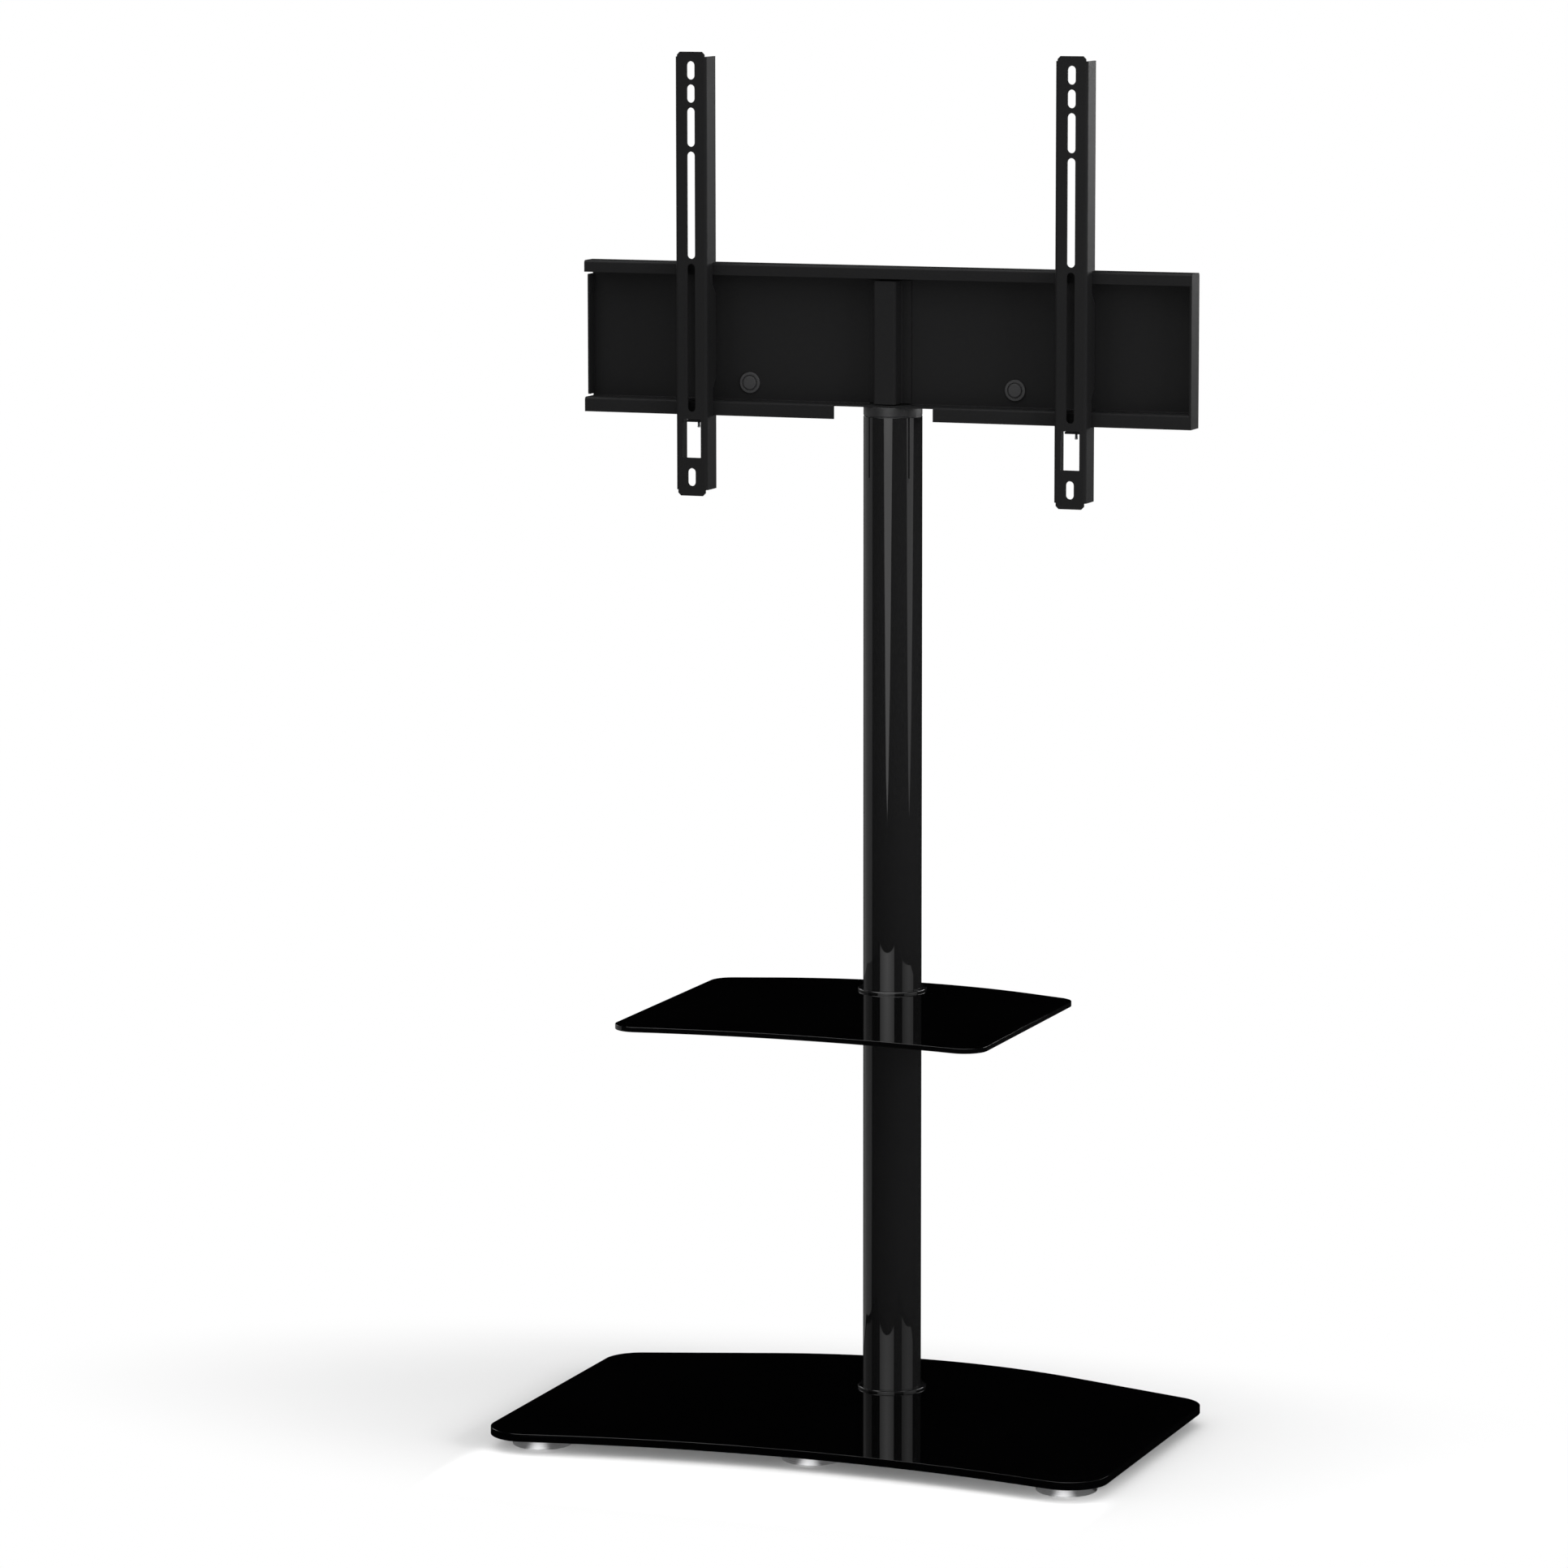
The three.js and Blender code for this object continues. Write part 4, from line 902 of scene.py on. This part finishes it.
screw_foot = lock_bottom - 0.0069
screw_tip = 1.0414
socket_top = screw_foot + 0.0016
crest = 0.0015
root = 0.00128
pitch = 0.0005
screw_section = [
    (0, socket_top), (0.0008, socket_top), (0.0008, screw_foot), (0.0013, screw_foot),
    (crest, screw_foot + 0.0002),
]
thread_end = screw_tip - 0.0006
height = screw_foot + 0.0015
while height < thread_end:
    screw_section += [(crest, height), (root, height + pitch / 2)]
    height += pitch
screw_section += [(0.0012, screw_tip), (0, screw_tip)]
lock_screw = lathe_turn("set_screw_left", screw_section, (left_middle, screw_y, 0), steps=24)
for piece, name, finish, slot, node in (
    (hook_plate, "hook_sheet_right", powder_coat, "powder_coat", "hook_plate"),
    (lock_tab, "lock_sheet_right", powder_coat, "powder_coat", "lock_tab"),
    (lock_screw, "set_screw_right", zinc_plate, "zinc_steel", "lock_screw"),
):
    right = copy_piece(piece, name, rail_shift)
    fit_piece(piece, "rail_left_body", finish, slot, node + "_left")
    fit_piece(right, "rail_right_body", finish, slot, node + "_right")


# Floor. A plain pale studio floor that keeps the stand's shadow and runs out into the white
# background. It fades to white for the camera alone, sooner in front and behind than at the sides.
def vector_step(tree, operation, source, value=None):
    """One step of vector arithmetic in a shader."""
    step = tree.nodes.new("ShaderNodeVectorMath")
    step.operation = operation
    tree.links.new(source, step.inputs[0])
    if value is not None:
        step.inputs[1].default_value = value
    return step.outputs["Value" if operation in ("LENGTH", "DOT_PRODUCT") else "Vector"]


def math_step(tree, operation, *sources):
    """One step of arithmetic in a shader."""
    step = tree.nodes.new("ShaderNodeMath")
    step.operation = operation
    for port, source in zip(step.inputs, sources):
        tree.links.new(source, port)
    return step.outputs["Value"]


def mix_surfaces(tree, factor, first, second, output):
    """Mixes two shaders and sends them to the output's surface."""
    mix = tree.nodes.new("ShaderNodeMixShader")
    for port, source in zip(mix.inputs, (factor, first, second)):
        tree.links.new(source, port)
    tree.links.new(mix.outputs["Shader"], tree.nodes[output].inputs["Surface"])


bpy.ops.object.select_all(action="DESELECT")
bpy.ops.mesh.primitive_circle_add(vertices=96, radius=9, fill_type="NGON", location=(0, 0, -0.0002))
floor = start_piece("studio_floor")
floor_paint, tree, shader, coords = new_finish("floor_paint", (0.79, 0.79, 0.79), 0, 0.9)
shader.inputs["Specular IOR Level"].default_value = 0
white = tree.nodes.new("ShaderNodeEmission")
path = tree.nodes.new("ShaderNodeLightPath")
fade_shape = (0.62, 1.35, 1)
fade_start = 0.28
fade_end = 0.60
halo = vector_step(tree, "MULTIPLY", coords.outputs["Object"], fade_shape)
distance = vector_step(tree, "LENGTH", halo)
fade = map_level(tree, distance, fade_start, fade_end, 0, 1, smooth=True)
seen_fade = math_step(tree, "MULTIPLY", fade, path.outputs["Is Camera Ray"])
mix_surfaces(tree, seen_fade, shader.outputs["BSDF"], white.outputs["Emission"], "Material Output")
floor.data.materials.append(floor_paint)


# Studio. Black flags surround the set, as they do where black glass is photographed. Among them
# stand two soft boxes, two rim panels, an overhead box and a card at each front foot, all of which
# are seen in reflections alone, and soft lamps that light the stand and the floor.
def plain_light(name, strength):
    """A material that glows white and does nothing else."""
    material = bpy.data.materials.new(name)
    material.use_nodes = True
    tree = material.node_tree
    tree.nodes.remove(tree.nodes["Principled BSDF"])
    glow = tree.nodes.new("ShaderNodeEmission")
    glow.inputs["Color"].default_value = (1, 1, 1, 1)
    glow.inputs["Strength"].default_value = strength
    tree.links.new(glow.outputs["Emission"], tree.nodes["Material Output"].inputs["Surface"])
    return material


def reflected_only(piece, material):
    """Puts a piece on the stage for reflections alone."""
    piece.data.materials.clear()
    piece.data.materials.append(material)
    piece.visible_camera = False
    piece.visible_diffuse = False
    piece.visible_transmission = False
    piece.visible_volume_scatter = False
    piece.visible_shadow = False


camera_place = (2.27627, -6.31341, 1.63093)
camera_angle = math.atan2(camera_place[1] - axis_y, camera_place[0])
dark_tone = 0.0008
flag_tones = [
    (-160, dark_tone), (-140, 0.01), (-86, 0.018), (88, 0.03), (147, 0.36), (165, 0.1),
    (180, dark_tone),
]
flag_radius = 5.6
flag_height = 4


def hang_flags(piece):
    """Gives each face of a ring round the set the tone of its sector, and leaves its roof dark.
    Sectors end at so many degrees to the left of the camera's side of the column."""
    piece.data.transform(Matrix.Translation(piece.location))
    piece.location = (0, 0, 0)
    reflected_only(piece, plain_light(piece.name + "_tone", dark_tone))
    for _, tone in flag_tones:
        piece.data.materials.append(plain_light(piece.name + "_tone", tone))
    for face in piece.data.polygons:
        if face.center.z > flag_height - 0.1:
            continue
        left = math.degrees(camera_angle - math.atan2(face.center.y - axis_y, face.center.x))
        left = (left + 180) % 360 - 180
        face.material_index = 1 + next(i for i, (end, _) in enumerate(flag_tones) if left <= end)


bpy.ops.object.select_all(action="DESELECT")
bpy.ops.mesh.primitive_cylinder_add(
    vertices=180, radius=flag_radius, depth=flag_height, end_fill_type="TRIFAN",
    location=(0, axis_y, flag_height / 2 + 0.0001),
)
flags = start_piece("studio_flags")
select_parts(flags, "faces", lambda f: f.normal.z < -0.5)
bpy.ops.mesh.delete(type="FACE")
bpy.ops.object.mode_set(mode="OBJECT")
hang_flags(flags)

bpy.ops.object.select_all(action="DESELECT")
bpy.ops.mesh.primitive_circle_add(
    vertices=180, radius=flag_radius, fill_type="TRIFAN", location=(0, axis_y, 0.0001),
)
floor_flag = start_piece("floor_flag")
hang_flags(floor_flag)

# a dark card on the floor, 1.42 times the base's size, which the base's edge and feet reflect
mask_scale = 1.42
mask_y = axis_y - 0.083
mask_edge = [(mask_scale * x, mask_y + mask_scale * (y - mask_y)) for x, y in base_plan]
floor_mask = extrude_outline("floor_mask", mask_edge, "XY", near=0.0004, far=0.0005)
reflected_only(floor_mask, plain_light("floor_mask_tone", 0.004))


def panel(name, middle, distance, edge):
    """A flat lit panel that faces the column. Its edge runs as (degrees, height) points: degrees to
    the left of the camera's side of the column, and metres above the floor."""
    toward = camera_angle - math.radians(middle)
    out = Vector((math.cos(toward), math.sin(toward), 0))
    across = Vector((out.y, -out.x, 0))
    places = []
    for degrees, height in edge:
        offset = distance * math.tan(math.radians(degrees - middle))
        places.append(Vector((0, axis_y, height)) + out * distance + across * offset)
    return lay_outline(name, places)


box_distance = 4.2
core_height = 1.12
core_size = (2.6, 2.6, 0.6)
rim_reach = 0.9


def soft_box(name, middle, edge, rim, core):
    """A panel whose light grows from its rim to its core, at the height of the upper column."""
    piece = panel(name, middle, box_distance, edge)
    material = plain_light(name + "_light", rim)
    tree = material.node_tree
    coords = tree.nodes.new("ShaderNodeTexCoord")
    toward = camera_angle - math.radians(middle)
    core_middle = (
        box_distance * math.cos(toward), axis_y + box_distance * math.sin(toward), core_height,
    )
    shift = vector_step(tree, "SUBTRACT", coords.outputs["Object"], core_middle)
    squash = vector_step(tree, "MULTIPLY", shift, [1 / size for size in core_size])
    level = map_level(tree, vector_step(tree, "LENGTH", squash), 0, rim_reach, core, rim)
    tree.links.new(level, tree.nodes["Emission"].inputs["Strength"])
    reflected_only(piece, material)


soft_box(
    "front_box", 20.5,
    [
        (20.5, 0.0), (25.6, 0.067), (28.9, 0.202), (30.8, 0.324), (32.8, 0.405), (35.7, 0.643),
        (49.6, 0.90), (49.6, 1.5), (-7.5, 1.5), (-7.5, 0.90),
        (2.2, 0.643), (6.8, 0.405), (8.1, 0.324), (11.2, 0.202), (16.4, 0.067),
    ],
    rim=1.5, core=3.2,
)
soft_box(
    "right_box", -67,
    [
        (-69, 0.0), (-73.4, 0.067), (-76.6, 0.135), (-79.4, 0.202), (-81, 0.27), (-83.1, 0.324),
        (-84.3, 0.405), (-88.6, 0.643), (-90.8, 0.90), (-90.8, 1.5), (-39.4, 1.5), (-39.4, 0.90),
        (-55.2, 0.643), (-57.5, 0.405), (-58.9, 0.324), (-60.9, 0.202), (-62.7, 0.135),
        (-64.6, 0.067),
    ],
    rim=0.8, core=1.7,
)
rim_distance = 3.0
for side, middle, half, low, high, strength in (
    ("right", -118, 22, 1.11, 1.66, 9.0), ("left", 136, 20, 1.2, 2.0, 2.5),
):
    edge = box_outline(middle + half, middle - half, low, high)
    rim_panel = panel("rim_panel_" + side, middle, rim_distance, edge)
    reflected_only(rim_panel, plain_light("rim_panel_light", strength))
overhead = box_outline(left=-2.4, right=1.6, low=-2.6, high=1.2)
top_box = extrude_outline("top_box", overhead, "XY", near=3.80, far=3.81)
reflected_only(top_box, plain_light("top_box_light", 4.5))

# a pale card on the floor, bent round the front of each front foot, brightest straight in front
card_angle = camera_angle - math.radians(8)
out = Vector((math.cos(card_angle), math.sin(card_angle), 0))
across = Vector((-out.y, out.x, 0))
card_near, card_far, card_inner, card_outer = 0.002, 0.066, 0.031, 0.060
card_bright, card_dim, card_reach = 1.45, 0.17, 0.62
card_shape = [
    (card_near, -card_inner), (card_near, -card_outer), (card_far, -card_outer),
    (card_far, card_outer), (card_near, card_outer), (card_near, card_inner),
]
for corner in ("front_left", "front_middle", "front_right"):
    low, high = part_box("foot_" + corner)
    foot_middle = Vector(((low.x + high.x) / 2, (low.y + high.y) / 2, 0))
    edge = [tuple((foot_middle + out * far + across * wide).xy) for far, wide in card_shape]
    card = extrude_outline("foot_card_" + corner, edge, "XY", near=0.0006, far=0.00065)
    material = plain_light("foot_card_light", 1)
    tree = material.node_tree
    coords = tree.nodes.new("ShaderNodeTexCoord")
    shift = vector_step(tree, "SUBTRACT", coords.outputs["Object"], foot_middle)
    sideways = vector_step(tree, "DOT_PRODUCT", shift, across)
    forwards = vector_step(tree, "DOT_PRODUCT", shift, out)
    slope = math_step(tree, "ABSOLUTE", math_step(tree, "DIVIDE", sideways, forwards))
    level = map_level(tree, slope, 0, card_reach, card_bright, card_dim, smooth=True)
    tree.links.new(level, tree.nodes["Emission"].inputs["Strength"])
    reflected_only(card, material)


def soft_lamp(name, place, aim, width, height, power):
    """A soft box that lights the stand and the floor, and isn't seen in reflections."""
    data = bpy.data.lights.new(name, "AREA")
    data.shape = "RECTANGLE"
    data.size = width
    data.size_y = height
    data.energy = power
    lamp = bpy.data.objects.new(name, data)
    bpy.context.scene.collection.objects.link(lamp)
    lamp.location = place
    lamp.rotation_euler = (Vector(aim) - Vector(place)).to_track_quat("-Z", "Y").to_euler()
    lamp.visible_glossy = False
    lamp.visible_camera = False
    return lamp


tray_middle = (0, 0, 1.1)
soft_lamp("side_lamp", (3.4, 0.2, 1.5), tray_middle, width=1.6, height=1.2, power=26)
soft_lamp("fill_lamp", (3.2, -1.3, 1.4), tray_middle, width=1.2, height=1.2, power=60)
soft_lamp("top_lamp", (0.2, -1.6, 4.0), (0, -0.1, 0.4), width=8.0, height=7.0, power=172)

# a narrow strip just above the floor, tilted down a little, for the front feet and the front edge
low_strip = soft_lamp(
    "low_strip", (0, -0.44, 0.013), (0, 0, -0.0255), width=0.66, height=0.014, power=0.36,
)
low_strip.data.spread = math.radians(10)

world = bpy.data.worlds.new("studio_world")
bpy.context.scene.world = world
world.use_nodes = True
tree = world.node_tree
sky = tree.nodes["Background"]
sky.inputs["Color"].default_value = (0.55, 0.55, 0.55, 1)
backdrop = tree.nodes.new("ShaderNodeBackground")
backdrop.inputs["Color"].default_value = (1, 1, 1, 1)
path = tree.nodes.new("ShaderNodeLightPath")
seen = path.outputs["Is Camera Ray"]
for kind in ("Is Glossy Ray", "Is Transmission Ray"):
    seen = math_step(tree, "MAXIMUM", seen, path.outputs[kind])
surfaces = (sky.outputs["Background"], backdrop.outputs["Background"])
mix_surfaces(tree, seen, *surfaces, "World Output")


# Camera. It stands in front and to the right, a little above the stand, with a long lens.
turn = math.radians(20.479)
tilt = math.radians(8.177)
roll = math.radians(-0.069)
level_right = Vector((math.cos(turn), math.sin(turn), 0))
forward = Vector(
    (-math.sin(turn) * math.cos(tilt), math.cos(turn) * math.cos(tilt), -math.sin(tilt)),
)
level_up = level_right.cross(forward)
right = math.cos(roll) * level_right + math.sin(roll) * level_up
up = -math.sin(roll) * level_right + math.cos(roll) * level_up
camera_data = bpy.data.cameras.new("camera")
camera_data.sensor_width = 36
camera_data.lens = 154.15
camera_data.clip_end = 60
camera = bpy.data.objects.new("camera", camera_data)
bpy.context.scene.collection.objects.link(camera)
view = Matrix((right, up, -forward)).transposed().to_4x4()
view.translation = camera_place
camera.matrix_world = view
bpy.context.scene.camera = camera
bpy.context.scene.view_settings.view_transform = "Standard"
